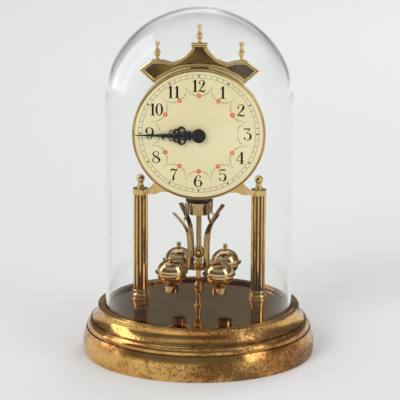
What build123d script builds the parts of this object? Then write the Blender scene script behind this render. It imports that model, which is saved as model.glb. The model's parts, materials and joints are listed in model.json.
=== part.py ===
from build123d import *
import math
import os

# A mantel clock under a glass dome, with a turning four-ball pendulum.
# Millimetres, +Z up, dial facing -Y, origin on the table under the middle of the base.

# Base
base_diameter = 152.4
base_height = 32.0
foot_band_height = 16.8
middle_band_height = 5.6
foot_band_inset = 2.2
middle_band_inset = 5.2
rim_inset = 10.0
groove_depth = 1.0
groove_width = 0.6
rim_roll = 1.1
rim_ring_depth = 0.35
rim_ring_count = 2
shell_wall = 1.6
seat_inner_radius = 52.0
cover_thickness = 2.0
felt_thickness = 1.0
cover_gap = 0.1

# Deck and glass dome
deck_recess = 2.0
deck_thickness = 1.6
dome_diameter = 122.5
dome_wall = 1.8
dome_headroom = 7.7
dome_gap = 0.4
dome_seat_thickness = 0.5

# Columns
column_spacing = 78.4
column_setback = 17.5
column_diameter = 9.7
column_bore = 6.0
column_foot_height = 6.4
column_shaft_height = 65.0
capital_height = 1.9
capital_flare = 0.9
flute_count = 12
flute_radius = 0.95
tie_rod_diameter = 3.0
tie_rod_gap = 0.1
tie_rod_tail = 4.6
nut_across_flats = 7.0
nut_thickness = 2.4
washer_diameter = 9.0
washer_thickness = 0.8
column_finial_height = 9.4
finial_thread_depth = 3.0

# Support bracket
eye_thickness = 1.8
eye_radius = 5.6
bracket_thickness = 1.5
bracket_half_width = 29.0
wing_root_height = 9.1
wing_root_rise = 2.6
wing_droop = 0.9
wing_edge = 1.1
wing_sink = 0.4
bracket_top_rise = 12.0
bracket_top_half_width = 18.0
housing_notch = 9.4

# Dial
dial_rise = 45.2
pan_diameter = 86.2
pan_depth = 7.8
pan_wall = 0.8
dial_plate_gap = 0.05
dial_plate_thickness = 0.6
dial_margin = 2.0
dial_margin_drop = 1.0
dial_shelf_width = 1.8
dial_hole_radius = 3.4
lip_height = 0.5

# Pediment, in distances from the dial centre
pediment_thickness = 3.5
tongue_thickness = 1.0
tongue_half_width = 6.0
pediment_arch_gap = 0.4
pedestal_half_width = 5.1
pedestal_top = 58.6
pedestal_foot = 55.4
sweep_middle = (9.6, 50.4)
sweep_end = (17.5, 45.9)
lobe_inner = (22.8, 47.4)
lobe_outer = (30.6, 47.4)
pediment_tip = (39.0, 41.1)
panel_border = 1.9
panel_depth = 1.0
panel_taper = 35.0
pediment_bevel = 0.6
side_finial_offset = 27.0
pediment_finial_height = 12.4

# Movement
case_depth = 17.4
case_wall = 1.4
case_floor_rise = 4.7
case_top_rise = 17.5
case_front_y = -4.0
case_split = 9.0
neck_radius = 5.0
neck_gap = 0.1
neck_nut_across_flats = 13.0
neck_nut_thickness = 2.0
neck_tail = 0.6
case_ring_height = 0.6
case_ring_width = 1.2
case_corner_radius = 3.0
motor_size = (17.0, 7.0, 8.0)
board_size = (14.0, 1.0, 20.0)
battery_diameter = 14.2
battery_length = 50.5
battery_nub_radius = 2.6
battery_nub_length = 1.0
battery_gap = 0.3
battery_end_room = 0.85
contact_thickness = 0.5

# Hands and motion work
running_gap = 0.06
minute_arbor_radius = 0.9
hour_tube_radius = 2.6
setting_arbor_radius = 0.8
gear_center_distance = 12.0
minute_pinion_teeth = 12
setting_wheel_teeth = 36
setting_pinion_teeth = 10
hour_wheel_teeth = 40
wheel_thickness = 1.0
pinion_extra = 0.4
gear_side_gap = 0.6
backlash = 0.14
hand_thickness = 0.5
hour_hand_gap = 0.9
minute_hand_gap = 0.9
minute_hand_length = 41.0
minute_hand_rings = [(11.1, 3.8, 2.35, 1.6), (14.5, 2.7, 1.9, 1.15), (17.6, 2.1, 1.6, 0.9)]
minute_blade = (18.8, 1.15)
hour_hand_length = 25.4
hour_hand_rings = [(10.6, 3.5, 2.2, 1.45), (13.8, 2.6, 1.75, 1.05)]
hour_blade = (15.0, 1.3)
hour_cross = (23.0, 2.6, 1.2)
hand_spine_half = 0.9
hand_neck = (9.0, 2.3)
hand_beads = [(8.3, 2.1, 1.2), (5.9, 2.2, 1.05)]
hand_collar_radius = 4.2
hand_cap_radius = 4.6
hand_cap_height = 2.6
minute_angle = 270.0
hour_angle = 267.5
knob_radius = 5.5
knob_thickness = 4.0
knob_gap = 0.5
knob_notches = 16
knob_notch_radius = 0.7

# Pendulum
housing_width = 17.0
housing_depth = 9.6
housing_height = 6.4
drum_radius = 7.8
drum_height = 8.0
drum_wall = 0.8
drum_top_gap = 0.6
rod_radius = 1.7
spindle_radius = 1.5
collar_radius = 2.8
collar_thickness = 1.6
collar_play = 0.2
collar_cavity_height = 2.8
ball_height = 26.5
ball_circle_radius = 22.0
ball_radius = 9.55
ball_half_height = 8.4
ball_wall = 0.8
ball_flange_radius = 10.8
cross_thickness = 0.6
cross_arm_width = 3.4
cross_hub_radius = 8.9
arm_bar_radius = 1.0
arm_bead_radius = 1.5
knob_stem_radius = 0.8
ball_knob_radius = 1.65
ball_cap_radius = 4.9
ball_cap_height = 4.4
hub_height = 4.4
hub_radius = 3.2
vase_height = 10.1
vase_radius = 3.55
strap_width = 3.8
strap_thickness = 0.9
strap_foot_radius = 7.9
strap_waist_radius = 7.6
strap_tip_radius = 21.6
strap_tip_drop = 4.6
finger_radius = 10.7
finger_width = 1.6
finger_thickness = 0.7
finger_top_rise = 0.4
tail_vase_radius = 3.3
tail_radius = 1.7
tail_pin_radius = 0.8
tail_flute_count = 10
tail_flute_radius = 0.45
guide_post_radius = 1.9
guide_post_height = 5.4
guide_gap = 0.6
guide_depth = 3.4
pendulum_turn = 6.8

# Levels that follow from the sizes above
base_radius = base_diameter / 2
dome_radius = dome_diameter / 2
dome_inner_radius = dome_radius - dome_wall
deck_top = base_height - deck_recess
seat_level = deck_top - deck_thickness
dome_foot = seat_level + dome_seat_thickness
lip_radius = dome_radius + dome_gap
deck_radius = dome_inner_radius - dome_gap
column_x = column_spacing / 2
column_y = column_setback
shaft_bottom = deck_top + column_foot_height
shaft_top = shaft_bottom + column_shaft_height
eye_bottom = shaft_top + capital_height
eye_top = eye_bottom + eye_thickness
dial_z = eye_bottom + dial_rise
rod_hole_radius = tie_rod_diameter / 2 + tie_rod_gap
bracket_front = case_front_y - bracket_thickness
tongue_front = bracket_front - tongue_thickness
pan_back = tongue_front
pan_floor_front = pan_back - pan_wall
pan_front = pan_back - pan_depth
pan_radius = pan_diameter / 2
pan_inner_radius = pan_radius - pan_wall
dial_edge_radius = pan_inner_radius - dial_plate_gap
dial_front = pan_front + lip_height - dial_margin_drop
dial_edge_back = dial_front + dial_margin_drop + dial_plate_thickness
hour_hand_back = dial_front - hour_hand_gap
hour_hand_front = hour_hand_back - hand_thickness
minute_hand_back = hour_hand_front - minute_hand_gap
minute_hand_front = minute_hand_back - hand_thickness
case_half_width = battery_length / 2 + battery_end_room + contact_thickness + case_wall
case_floor = eye_bottom + case_floor_rise
case_top = dial_z + case_top_rise
case_inside_front = case_front_y + case_wall
case_back_y = case_front_y + case_depth
case_inside_back = case_back_y - case_wall
case_split_y = case_front_y + case_split
battery_z = case_floor + case_wall + battery_gap + battery_diameter / 2
battery_y = case_inside_front + battery_gap + battery_diameter / 2
hour_wheel_front = case_inside_front + gear_side_gap
setting_wheel_front = hour_wheel_front + wheel_thickness + pinion_extra + gear_side_gap
arch_radius = pan_radius + pediment_arch_gap
finial_top = dial_z + pedestal_top + pediment_finial_height
dome_top = finial_top + dome_headroom + dome_wall
pediment_front = bracket_front - pediment_thickness
pediment_middle = (pediment_front + bracket_front) / 2
housing_bottom = case_floor - housing_height
collar_floor = housing_bottom + housing_height - case_wall - collar_cavity_height
drum_top = housing_bottom - drum_top_gap
drum_bottom = drum_top - drum_height
ball_z = deck_top + ball_height
cross_top = ball_z + cross_thickness / 2
cross_bottom = ball_z - cross_thickness / 2
hub_top = cross_top + hub_height
vase_top = hub_top + vase_height
post_top = deck_top + guide_post_height
tail_shoulder = post_top + guide_gap
tail_tip = post_top - guide_depth
ball_angles = [45.0 - pendulum_turn + 90.0 * k for k in range(4)]
ball_names = ["back_right", "back_left", "front_left", "front_right"]
cut_length = 2 * base_diameter


def cap_bow(rim, crown):
    """How far an arc bows out from its line when it ends on the axis, square to it."""
    height = abs(crown[1] - rim[1])
    chord = math.hypot(rim[0], height)
    arc_radius = chord**2 / (2 * height)
    return arc_radius - math.sqrt(arc_radius**2 - chord**2 / 4)


def outline(start, *steps):
    """Closed face in the r-z plane; a step's third value bows its line out by that much."""
    here = start
    edges = []
    for step in steps + (start,):
        there = (step[0], step[1])
        bow = step[2] if len(step) > 2 else 0.0
        a = Vector(here[0], 0, here[1])
        b = Vector(there[0], 0, there[1])
        if bow:
            along = (b - a).normalized()
            middle = (a + b) * 0.5 + Vector(along.Z, 0, -along.X) * bow
            edges.append(ThreePointArc(a, middle, b))
        else:
            edges.append(Line(a, b))
        here = there
    return make_face(edges)


def capped(*points):
    """Profile steps that close on the axis with a rounded top: the last point is the crown."""
    rim, crown = points[-2], points[-1]
    return points[:-1] + ((crown[0], crown[1], cap_bow(rim, crown)),)


def turned(start, *steps):
    """A piece turned about the Z axis from its half outline."""
    return revolve(outline(start, *steps), Axis.Z, 360)


def facing(shape, y=0.0, z=0.0):
    """Stand a piece turned about Z on end, so that its own +Z points to -Y, out of the dial."""
    return Pos(0, y, z) * Rot(90, 0, 0) * shape


def rod(radius, low, high, bore=0.0):
    """Round bar along Z between two levels, with an optional bore."""
    bar = Pos(0, 0, (low + high) / 2) * Cylinder(radius, high - low)
    if bore:
        bar -= Pos(0, 0, (low + high) / 2) * Cylinder(bore, (high - low) * 2)
    return bar


def block(x0, x1, y0, y1, z0, z1):
    """Box between two corners."""
    return Pos((x0 + x1) / 2, (y0 + y1) / 2, (z0 + z1) / 2) * Box(x1 - x0, y1 - y0, z1 - z0)


def plate(face, y0, y1):
    """Flat face drawn as x-z, given its thickness between two depths."""
    return Pos(0, y1, 0) * extrude(Plane.XZ * face, amount=y1 - y0)


def polygon(points):
    """Flat face through points, in its own x-y plane."""
    return make_face(Polyline(*points, close=True))


def at_columns(piece):
    """A left and a right copy of a piece made on the Z axis."""
    return {side: Pos(sign * column_x, column_y, 0) * piece for side, sign in (("left", -1), ("right", 1))}


def around_pendulum(piece):
    """A copy of a piece at each of the four arms, made on the +X side."""
    return {name: Rot(0, 0, angle) * piece for name, angle in zip(ball_names, ball_angles)}


def base_shell():
    """Spun shell: a deep foot band, a rounded middle band, a swept top band and a rolled rim."""
    foot_top = foot_band_height
    middle_top = foot_top + middle_band_height
    foot_edge = base_radius - foot_band_inset
    middle_edge = base_radius - middle_band_inset
    rim_edge = base_radius - rim_inset
    foot_groove = foot_edge - groove_depth
    middle_groove = middle_edge - groove_depth
    return turned(
        (base_radius - 0.8, 0),
        (base_radius, foot_top * 0.36, 0.2),
        (foot_edge, foot_top, 0.5),
        (foot_groove, foot_top),
        (foot_groove, foot_top + groove_width),
        (foot_edge - 0.6, foot_top + groove_width),
        (middle_edge, middle_top, 0.8),
        (middle_groove, middle_top),
        (middle_groove, middle_top + groove_width),
        (rim_edge + 0.2, base_height - rim_roll, -0.9),
        (rim_edge - 0.5, base_height, 0.35),
        *rim_rings(rim_edge - 0.5, lip_radius, base_height),
        (lip_radius, base_height),
        (lip_radius, seat_level),
        (seat_inner_radius, seat_level),
        (seat_inner_radius, seat_level - shell_wall),
        (rim_edge - shell_wall * 1.5, seat_level - shell_wall),
        (middle_groove - shell_wall, middle_top),
        (foot_groove - shell_wall, foot_top),
        (base_radius - shell_wall - 0.9, foot_top * 0.5),
        (base_radius - shell_wall - 0.9, 0),
    )


def rim_rings(outer, inner, level):
    """Fine grooves turned in the rim's flat top, evenly spaced from its outer to its inner edge."""
    pitch = (outer - inner) / (rim_ring_count + 1)
    steps = []
    for k in range(1, rim_ring_count + 1):
        middle = outer - pitch * k
        steps.append((middle + rim_ring_depth, level, 0.08))
        steps.append((middle, level - rim_ring_depth))
        steps.append((middle - rim_ring_depth, level))
    return steps


def base_cover():
    """Board disc that closes the shell from below."""
    radius = base_radius - shell_wall - 0.9 - cover_gap
    return rod(radius, felt_thickness, felt_thickness + cover_thickness)


def base_felt():
    """Felt disc that the clock stands on."""
    return rod(base_radius - shell_wall - 0.9 - cover_gap, 0, felt_thickness)


def deck_plate():
    """Polished disc that the columns stand on."""
    deck = rod(deck_radius, seat_level, deck_top)
    for hole in at_columns(rod(rod_hole_radius, seat_level - 1, deck_top + 1)).values():
        deck -= hole
    return deck


def dome_seat():
    """Felt ring under the edge of the glass."""
    return rod(lip_radius - dome_gap / 2, seat_level, dome_foot, deck_radius + dome_gap / 2)


def glass_dome():
    """Straight glass wall with a half-round top and an open foot."""
    spring_line = dome_top - dome_radius
    inside_top = dome_top - dome_wall
    return turned(
        (dome_inner_radius, dome_foot),
        (dome_radius, dome_foot),
        *capped((dome_radius, spring_line), (0, dome_top)),
        (0, inside_top),
        (dome_inner_radius, spring_line, -cap_bow((dome_inner_radius, spring_line), (0, inside_top))),
    )


def column_foot():
    """Turned collar with a flange and two rings."""
    z = deck_top
    r = column_diameter / 2
    return turned(
        (rod_hole_radius, z),
        (r + 1.55, z),
        (r + 1.55, z + 0.9, 0.25),
        (r + 0.5, z + 1.2),
        (r + 0.5, z + 3.6, 0.55),
        (r + 0.1, z + 4.1),
        (r + 0.1, z + 5.0),
        (r + 0.6, z + 5.2),
        (r + 0.6, z + column_foot_height, 0.3),
        (rod_hole_radius, z + column_foot_height),
    )


def column_tube():
    """Fluted tube: round grooves run up a plain tube."""
    low = shaft_bottom
    high = shaft_top
    tube = rod(column_diameter / 2, low, high, column_bore / 2)
    flute = Pos(column_diameter / 2 + flute_radius * 0.3, 0, 0) * rod(flute_radius, low - 1, high + 1)
    for k in range(flute_count):
        tube -= Rot(0, 0, 360.0 * (k + 0.5) / flute_count) * flute
    return tube


def column_capital():
    """Turned ring that flares under the bracket's eye."""
    r = column_diameter / 2
    return turned(
        (rod_hole_radius, shaft_top),
        (r + 0.15, shaft_top),
        (r + 0.45, shaft_top + capital_height * 0.35, 0.15),
        (r + 0.2, shaft_top + capital_height * 0.45),
        (r + capital_flare, eye_bottom, -0.1),
        (rod_hole_radius, eye_bottom),
    )


def column_finial():
    """Turned ball finial that screws down on the tie rod."""
    z = eye_top
    top = z + column_finial_height
    ball = 2.8
    return turned(
        (rod_hole_radius, z),
        (4.4, z),
        (4.2, z + 0.8, 0.15),
        (2.5, z + 1.6, -0.3),
        (2.9, z + 2.2),
        (2.9, z + 2.9, 0.2),
        (1.5, top - 2 * ball + 0.4, -0.2),
        *capped((ball, top - ball, 0.75), (0, top)),
        (0, z + finial_thread_depth),
        (rod_hole_radius, z + finial_thread_depth),
    )


def tie_rods():
    """Two steel rods that hold base, columns and bracket together."""
    piece = rod(tie_rod_diameter / 2, seat_level - tie_rod_tail, eye_top + finial_thread_depth - 0.3)
    return list(at_columns(piece).values())


def tie_rod_nuts():
    """A washer and a hexagon nut on each rod, under the deck."""
    under = seat_level - washer_thickness
    washer = rod(washer_diameter / 2, under, seat_level, rod_hole_radius)
    hexagon = extrude(RegularPolygon(nut_across_flats / 2, 6, major_radius=False), amount=nut_thickness)
    nut = Pos(0, 0, under - nut_thickness) * hexagon - rod(rod_hole_radius, 0, seat_level)
    return [copy for piece in (washer, nut) for copy in at_columns(piece).values()]


def guide_post():
    """Turned post on the deck; its bore guides the pendulum's lower pin."""
    r = guide_post_radius
    return turned(
        (0, deck_top),
        (r + 1.2, deck_top),
        (r + 1.2, deck_top + 0.7, 0.2),
        (r, deck_top + 1.5, -0.2),
        (r, post_top),
        (tail_pin_radius + running_gap, post_top),
        (tail_pin_radius + running_gap, tail_tip - 0.3),
        (0, tail_tip - 0.3),
    )


def support_bracket():
    """Flat plate behind the dial; its wings slant back to an eye on each column."""
    root_low = eye_bottom + wing_root_rise
    root_high = root_low + wing_root_height
    plate_top = dial_z + bracket_top_rise
    notch_level = case_floor + 1.2
    half = [
        (housing_notch, notch_level),
        (bracket_half_width, root_low),
        (bracket_half_width, root_high),
        (bracket_top_half_width, plate_top),
    ]
    points = half + [(-x, z) for x, z in reversed(half)]
    body = plate(polygon(points), bracket_front, case_front_y)
    middle_y = (bracket_front + case_front_y) / 2
    run = math.hypot(column_x - bracket_half_width, column_y - middle_y)
    angle = math.degrees(math.atan2(column_y - middle_y, column_x - bracket_half_width))
    reach = run - eye_radius * 0.8
    clear = run - eye_radius - 0.4
    wing_face = polygon([
        (0, root_low),
        (0, root_high),
        (reach, eye_top),
        (reach, eye_bottom),
        (clear, eye_bottom),
        (clear - 1.5, eye_bottom - wing_droop),
        (reach * 0.42, eye_bottom - wing_droop * 0.3),
    ])
    wing = plate(wing_face, -bracket_thickness / 2, bracket_thickness / 2)
    panel = offset(wing_face, -wing_edge, kind=Kind.INTERSECTION)
    wing -= plate(panel, -bracket_thickness / 2 - 1, -bracket_thickness / 2 + wing_sink)
    wing = Pos(bracket_half_width, middle_y, 0) * Rot(0, 0, angle) * wing
    knuckle = Pos(bracket_half_width, middle_y, 0) * rod(bracket_thickness / 2, root_low, root_high)
    eye = Pos(column_x, column_y, 0) * rod(eye_radius, eye_bottom, eye_top)
    side = wing + knuckle + eye
    side -= Pos(column_x, column_y, 0) * rod(rod_hole_radius, eye_bottom - 1, eye_top + 1)
    body += side
    body += mirror(side, Plane.YZ)
    return body - facing(Cylinder(neck_radius + neck_gap, cut_length), 0, dial_z)


def pediment_outline(inset=0.0):
    """Crown outline: pedestal, swept shoulders, side lobes, pointed tips and a lower arch."""
    tip_foot_angle = math.radians(48.0)
    foot = (arch_radius * math.cos(tip_foot_angle), arch_radius * math.sin(tip_foot_angle))
    edges = []
    for s in (1, -1):
        edges.append(Line((0, pedestal_top), (s * pedestal_half_width, pedestal_top)))
        edges.append(Line((s * pedestal_half_width, pedestal_top), (s * pedestal_half_width, pedestal_foot)))
        sweep = [(s * x, z) for x, z in ((pedestal_half_width, pedestal_foot), sweep_middle, sweep_end)]
        edges.append(ThreePointArc(*sweep))
        edges.append(Line((s * sweep_end[0], sweep_end[1]), (s * lobe_inner[0], lobe_inner[1])))
        edges.append(Line((s * lobe_inner[0], lobe_inner[1]), (s * lobe_outer[0], lobe_outer[1])))
        edges.append(Line((s * lobe_outer[0], lobe_outer[1]), (s * pediment_tip[0], pediment_tip[1])))
        edges.append(Line((s * pediment_tip[0], pediment_tip[1]), (s * foot[0], foot[1])))
    edges.append(ThreePointArc((foot[0], foot[1]), (0, arch_radius), (-foot[0], foot[1])))
    face = make_face(edges)
    return offset(face, -inset, kind=Kind.INTERSECTION) if inset else face


def pediment():
    """Crown plate with a bevelled border round a sunk panel, and a tongue that the neck nut clamps."""
    crown = plate(pediment_outline(), pediment_front, bracket_front)
    front_edges = crown.faces().sort_by(Axis.Y)[0].edges()
    crown = chamfer(front_edges, pediment_bevel)
    sunk = extrude(Plane.XZ * pediment_outline(panel_border), amount=-panel_depth, taper=panel_taper)
    crown -= Pos(0, pediment_front, 0) * sunk
    tongue_top = arch_radius + 1.0
    tongue = block(-tongue_half_width, tongue_half_width, tongue_front, bracket_front, -8.0, tongue_top)
    tongue -= facing(Cylinder(neck_radius + neck_gap, cut_length))
    return Pos(0, 0, dial_z) * (crown + tongue)


def pediment_finial():
    """Turned finial: flared foot, waist, ball, neck and a small ball on top."""
    h = pediment_finial_height
    return turned(
        (0, 0),
        (2.4, 0),
        (2.4, 0.7, 0.1),
        (1.0, 0.27 * h, -0.35),
        (1.7, 0.31 * h),
        (1.7, 0.35 * h, 0.15),
        (1.1, 0.37 * h),
        (2.5, 0.52 * h, 0.4),
        (1.0, 0.68 * h, 0.5),
        (1.5, 0.72 * h, 0.1),
        (0.8, 0.77 * h),
        *capped((1.6, 0.87 * h, 0.35), (0, h)),
    )


def dial_pan():
    """Shallow dish with a rolled lip and a shelf inside that the dial rests on."""
    depth = -pan_front
    floor = -pan_floor_front
    back = -pan_back
    shelf = -dial_edge_back
    pan = turned(
        (neck_radius + neck_gap, back),
        (pan_radius, back),
        (pan_radius, depth - 0.4),
        (pan_inner_radius, depth - 0.4, 0.4),
        (pan_inner_radius, shelf),
        (pan_inner_radius - dial_shelf_width, shelf),
        (pan_inner_radius - dial_shelf_width, shelf - pan_wall),
        (pan_inner_radius, shelf - pan_wall),
        (pan_inner_radius, floor),
        (neck_radius + neck_gap, floor),
    )
    return facing(pan, 0, dial_z)


def dial_plate():
    """Enamelled disc, flat in the middle, with a margin that rolls back to its edge."""
    front = -dial_front
    back = front - dial_plate_thickness
    flat_radius = dial_edge_radius - dial_margin
    disc = turned(
        (dial_hole_radius, back),
        (flat_radius, back),
        (dial_edge_radius, back - dial_margin_drop, 0.2),
        (dial_edge_radius, front - dial_margin_drop),
        (flat_radius, front, 0.2),
        (dial_hole_radius, front),
    )
    return facing(disc, 0, dial_z)


def neck_nut():
    """Hexagon nut inside the pan that clamps pan, pediment and bracket to the movement."""
    hexagon = RegularPolygon(neck_nut_across_flats / 2, 6, major_radius=False)
    nut = Pos(0, 0, -pan_floor_front) * extrude(hexagon, amount=neck_nut_thickness)
    return facing(nut - Cylinder(neck_radius + neck_gap, cut_length), 0, dial_z)


def case_outline():
    """Outside of the movement's case in x-z."""
    height = case_top - case_floor
    middle = Pos(0, (case_top + case_floor) / 2)
    return middle * RectangleRounded(2 * case_half_width, height, case_corner_radius)


def case_hollow():
    """Room inside the movement's case in x-z."""
    height = case_top - case_floor - 2 * case_wall
    width = 2 * (case_half_width - case_wall)
    middle = Pos(0, (case_top + case_floor) / 2)
    return middle * RectangleRounded(width, height, case_corner_radius - case_wall)


def case_front():
    """Front half of the case with the threaded neck and the blind bearing of the setting wheel."""
    shell = plate(case_outline(), case_front_y, case_split_y)
    shell -= plate(case_hollow(), case_inside_front, case_split_y + 1)
    neck_end = -pan_floor_front + neck_nut_thickness + neck_tail
    shell += facing(rod(neck_radius, -case_front_y, neck_end), 0, dial_z)
    shell -= facing(Cylinder(hour_tube_radius + running_gap, cut_length), 0, dial_z)
    blind = rod(setting_arbor_radius + running_gap, -case_inside_front - 0.1, -case_front_y - 0.5)
    return shell - Pos(gear_center_distance, 0, 0) * facing(blind, 0, dial_z)


def case_back():
    """Back half of the case, open at the battery bay, with two bearing holes."""
    shell = plate(case_outline(), case_split_y, case_back_y)
    shell -= plate(case_hollow(), case_split_y - 1, case_inside_back)
    bay_half = battery_length / 2 + battery_gap
    bay_low = battery_z - battery_diameter / 2 - battery_gap
    bay_high = battery_z + battery_diameter / 2 + battery_gap
    shell -= block(-bay_half, bay_half, case_split_y, case_back_y + 1, bay_low, bay_high)
    shell -= facing(rod(minute_arbor_radius + running_gap, -case_back_y - 1, -case_split_y), 0, dial_z)
    knob_place = Pos(gear_center_distance, 0, 0)
    inner = knob_radius + knob_gap
    ring = rod(inner + case_ring_width, -case_back_y - case_ring_height, -case_back_y + 0.1, inner)
    shell += knob_place * facing(ring, 0, dial_z)
    hole = facing(rod(setting_arbor_radius + running_gap, -case_back_y - 1, -case_split_y), 0, dial_z)
    return shell - knob_place * hole


def step_motor():
    """Motor unit with its coil on a core between two cheeks."""
    width, depth, height = motor_size
    left = -case_half_width + case_wall + 1.0
    low = battery_z + battery_diameter / 2 + 1.5
    y0 = case_inside_front
    cheek = 1.6
    body = block(left, left + cheek, y0, y0 + depth, low, low + height)
    body += block(left + width - cheek, left + width, y0, y0 + depth, low, low + height)
    core = Pos(left + width / 2, y0 + depth / 2, low + height / 2) * Rot(0, 90, 0)
    return body + core * Cylinder(min(depth, height) * 0.45, width - 2 * cheek)


def circuit_board():
    """Small board flat against the case front."""
    width, thickness, height = board_size
    left = -case_half_width + case_wall + 1.0
    low = case_top - case_wall - 1.0 - height
    return block(left, left + width, case_inside_front, case_inside_front + thickness, low, low + height)


def battery_contacts():
    """A sprung strip at each end of the battery bay."""
    strips = []
    outer = case_half_width - case_wall
    for s in (-1, 1):
        x0, x1 = sorted((s * outer, s * (outer - contact_thickness)))
        strips.append(block(x0, x1, case_inside_front, case_split_y, battery_z - 4.0, battery_z + 4.0))
    return strips


def battery():
    """Round cell with its nub, lying across the case."""
    length = battery_length - battery_nub_length
    cell = turned(
        (0, 0),
        (battery_diameter / 2 - 0.4, 0),
        (battery_diameter / 2, 0.4, 0.1),
        (battery_diameter / 2, length - 0.4),
        (battery_diameter / 2 - 0.4, length, 0.1),
        (battery_nub_radius, length),
        (battery_nub_radius, battery_length),
        (0, battery_length),
    )
    return Pos(-battery_length / 2, battery_y, battery_z) * Rot(0, 90, 0) * cell


def drive_housing():
    """Block under the case; its cavity holds the pendulum's collar over a close bore."""
    shell = block(-housing_width / 2, housing_width / 2, -housing_depth / 2, housing_depth / 2,
                  housing_bottom, case_floor)
    shell -= rod(collar_radius + 0.3, collar_floor, collar_floor + collar_cavity_height)
    return shell - rod(spindle_radius + running_gap, housing_bottom - 1, collar_floor + 0.5)


def gear(teeth, module, thickness, turn=0.0):
    """Spur gear on the Z axis: straight-sided teeth with backlash at the pitch circle."""
    pitch = module * teeth / 2
    root = pitch - 1.2 * module
    tip = pitch + 0.8 * module
    half = (math.pi * module / 2 - backlash) / 2 / pitch
    lean = math.tan(math.radians(22.0)) / pitch
    points = []
    for k in range(teeth):
        middle = math.radians(turn) + 2 * math.pi * k / teeth
        for radius, side in ((root, -1), (tip, -1), (tip, 1), (root, 1)):
            spread = half - lean * (radius - pitch)
            angle = middle + side * spread
            points.append((radius * math.cos(angle), radius * math.sin(angle)))
    return extrude(polygon(points), amount=thickness)


def train_modules():
    """Tooth sizes that give both gear pairs the same centre distance."""
    first = 2 * gear_center_distance / (minute_pinion_teeth + setting_wheel_teeth)
    second = 2 * gear_center_distance / (setting_pinion_teeth + hour_wheel_teeth)
    return first, second


def minute_arbor():
    """Centre arbor from the back bearing to the minute hand, with its pinion."""
    module, _ = train_modules()
    thickness = wheel_thickness + pinion_extra
    back = setting_wheel_front + thickness
    arbor = facing(rod(minute_arbor_radius, -case_back_y + 0.3, -minute_hand_front), 0, dial_z)
    return arbor + facing(gear(minute_pinion_teeth, module, thickness), back, dial_z)


def hour_wheel():
    """Hour wheel on the long tube that carries the hour hand."""
    _, module = train_modules()
    bore = minute_arbor_radius + running_gap
    back = hour_wheel_front + wheel_thickness
    wheel = facing(gear(hour_wheel_teeth, module, wheel_thickness), back, dial_z)
    wheel += facing(rod(hour_tube_radius, -hour_wheel_front - 0.1, -hour_hand_front), 0, dial_z)
    return wheel - facing(Cylinder(bore, cut_length), 0, dial_z)


def setting_wheel():
    """Wheel and pinion on one arbor, which runs out of the back to the knob."""
    first, second = train_modules()
    wheel_back = setting_wheel_front + pinion_extra / 2 + wheel_thickness
    half_tooth = 180.0 / setting_wheel_teeth
    wheel = facing(gear(setting_wheel_teeth, first, wheel_thickness, 180 + half_tooth), wheel_back)
    pinion_back = hour_wheel_front + wheel_thickness + pinion_extra / 2
    pinion_length = wheel_thickness + pinion_extra
    half_pinion = 180.0 / setting_pinion_teeth
    wheel += facing(gear(setting_pinion_teeth, second, pinion_length, 180 + half_pinion), pinion_back)
    knob_face = case_back_y + knob_gap + 1.0
    wheel += facing(rod(setting_arbor_radius, -knob_face, -case_front_y - 0.9))
    return Pos(gear_center_distance, 0, dial_z) * wheel


def setting_knob():
    """Ribbed knob on the end of the setting arbor."""
    low = case_back_y + knob_gap
    disc = facing(rod(knob_radius, -low - knob_thickness, -low))
    for k in range(knob_notches):
        notch = rod(knob_notch_radius, -low - knob_thickness - 1, -low + 1)
        notch = Pos(knob_radius + knob_notch_radius / 2, 0, 0) * notch
        disc -= facing(Rot(0, 0, 360.0 * k / knob_notches) * notch)
    disc -= facing(rod(setting_arbor_radius, -low - 1.0, -low + 1))
    return Pos(gear_center_distance, 0, dial_z) * disc


def hand_outline(length, rings, blade, bore):
    """Pierced hand pointing up: collar, beaded neck, pairs of open rings on a spine, tapered blade."""
    blade_start, blade_half = blade
    neck_end, neck_half = hand_neck
    tip_half = 0.22
    face = polygon([
        (-neck_half, 0), (neck_half, 0), (hand_spine_half, neck_end), (hand_spine_half, blade_start),
        (-hand_spine_half, blade_start), (-hand_spine_half, neck_end),
    ])
    face += polygon([
        (-hand_spine_half, blade_start - 1.0), (hand_spine_half, blade_start - 1.0),
        (blade_half, blade_start + 0.8), (tip_half, length), (-tip_half, length),
        (-blade_half, blade_start + 0.8),
    ])
    for side in (-1, 1):
        for distance, offset_x, radius in hand_beads:
            face += Pos(side * offset_x, distance) * Circle(radius)
        for distance, offset_x, radius, hole in rings:
            face += Pos(side * offset_x, distance) * Circle(radius)
    for side in (-1, 1):
        for distance, offset_x, radius, hole in rings:
            face -= Pos(side * offset_x, distance) * Circle(hole)
    face += Circle(hand_collar_radius)
    return face - Circle(bore)


def placed_hand(face, front, back, angle):
    """Give a hand its thickness and turn it clockwise to its hour."""
    return Pos(0, 0, dial_z) * Rot(0, angle, 0) * plate(face, front, back)


def minute_hand():
    """Long pierced hand."""
    face = hand_outline(minute_hand_length, minute_hand_rings, minute_blade, minute_arbor_radius)
    return placed_hand(face, minute_hand_front, minute_hand_back, minute_angle)


def hour_hand():
    """Short pierced hand with a small cross bar near its tip."""
    face = hand_outline(hour_hand_length, hour_hand_rings, hour_blade, hour_tube_radius)
    middle, half_width, half_height = hour_cross
    face += polygon([(-half_width, middle), (0, middle - half_height), (half_width, middle),
                     (0, middle + half_height)])
    return placed_hand(face, hour_hand_front, hour_hand_back, hour_angle)


def hand_cap():
    """Domed black cap over the middle of the hands."""
    front = -minute_hand_front
    cap = turned(
        (0, front),
        (hand_cap_radius - 0.2, front),
        *capped((hand_cap_radius, front + 0.5, 0.1), (0, front + hand_cap_height)),
    )
    return facing(cap, 0, dial_z)


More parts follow.
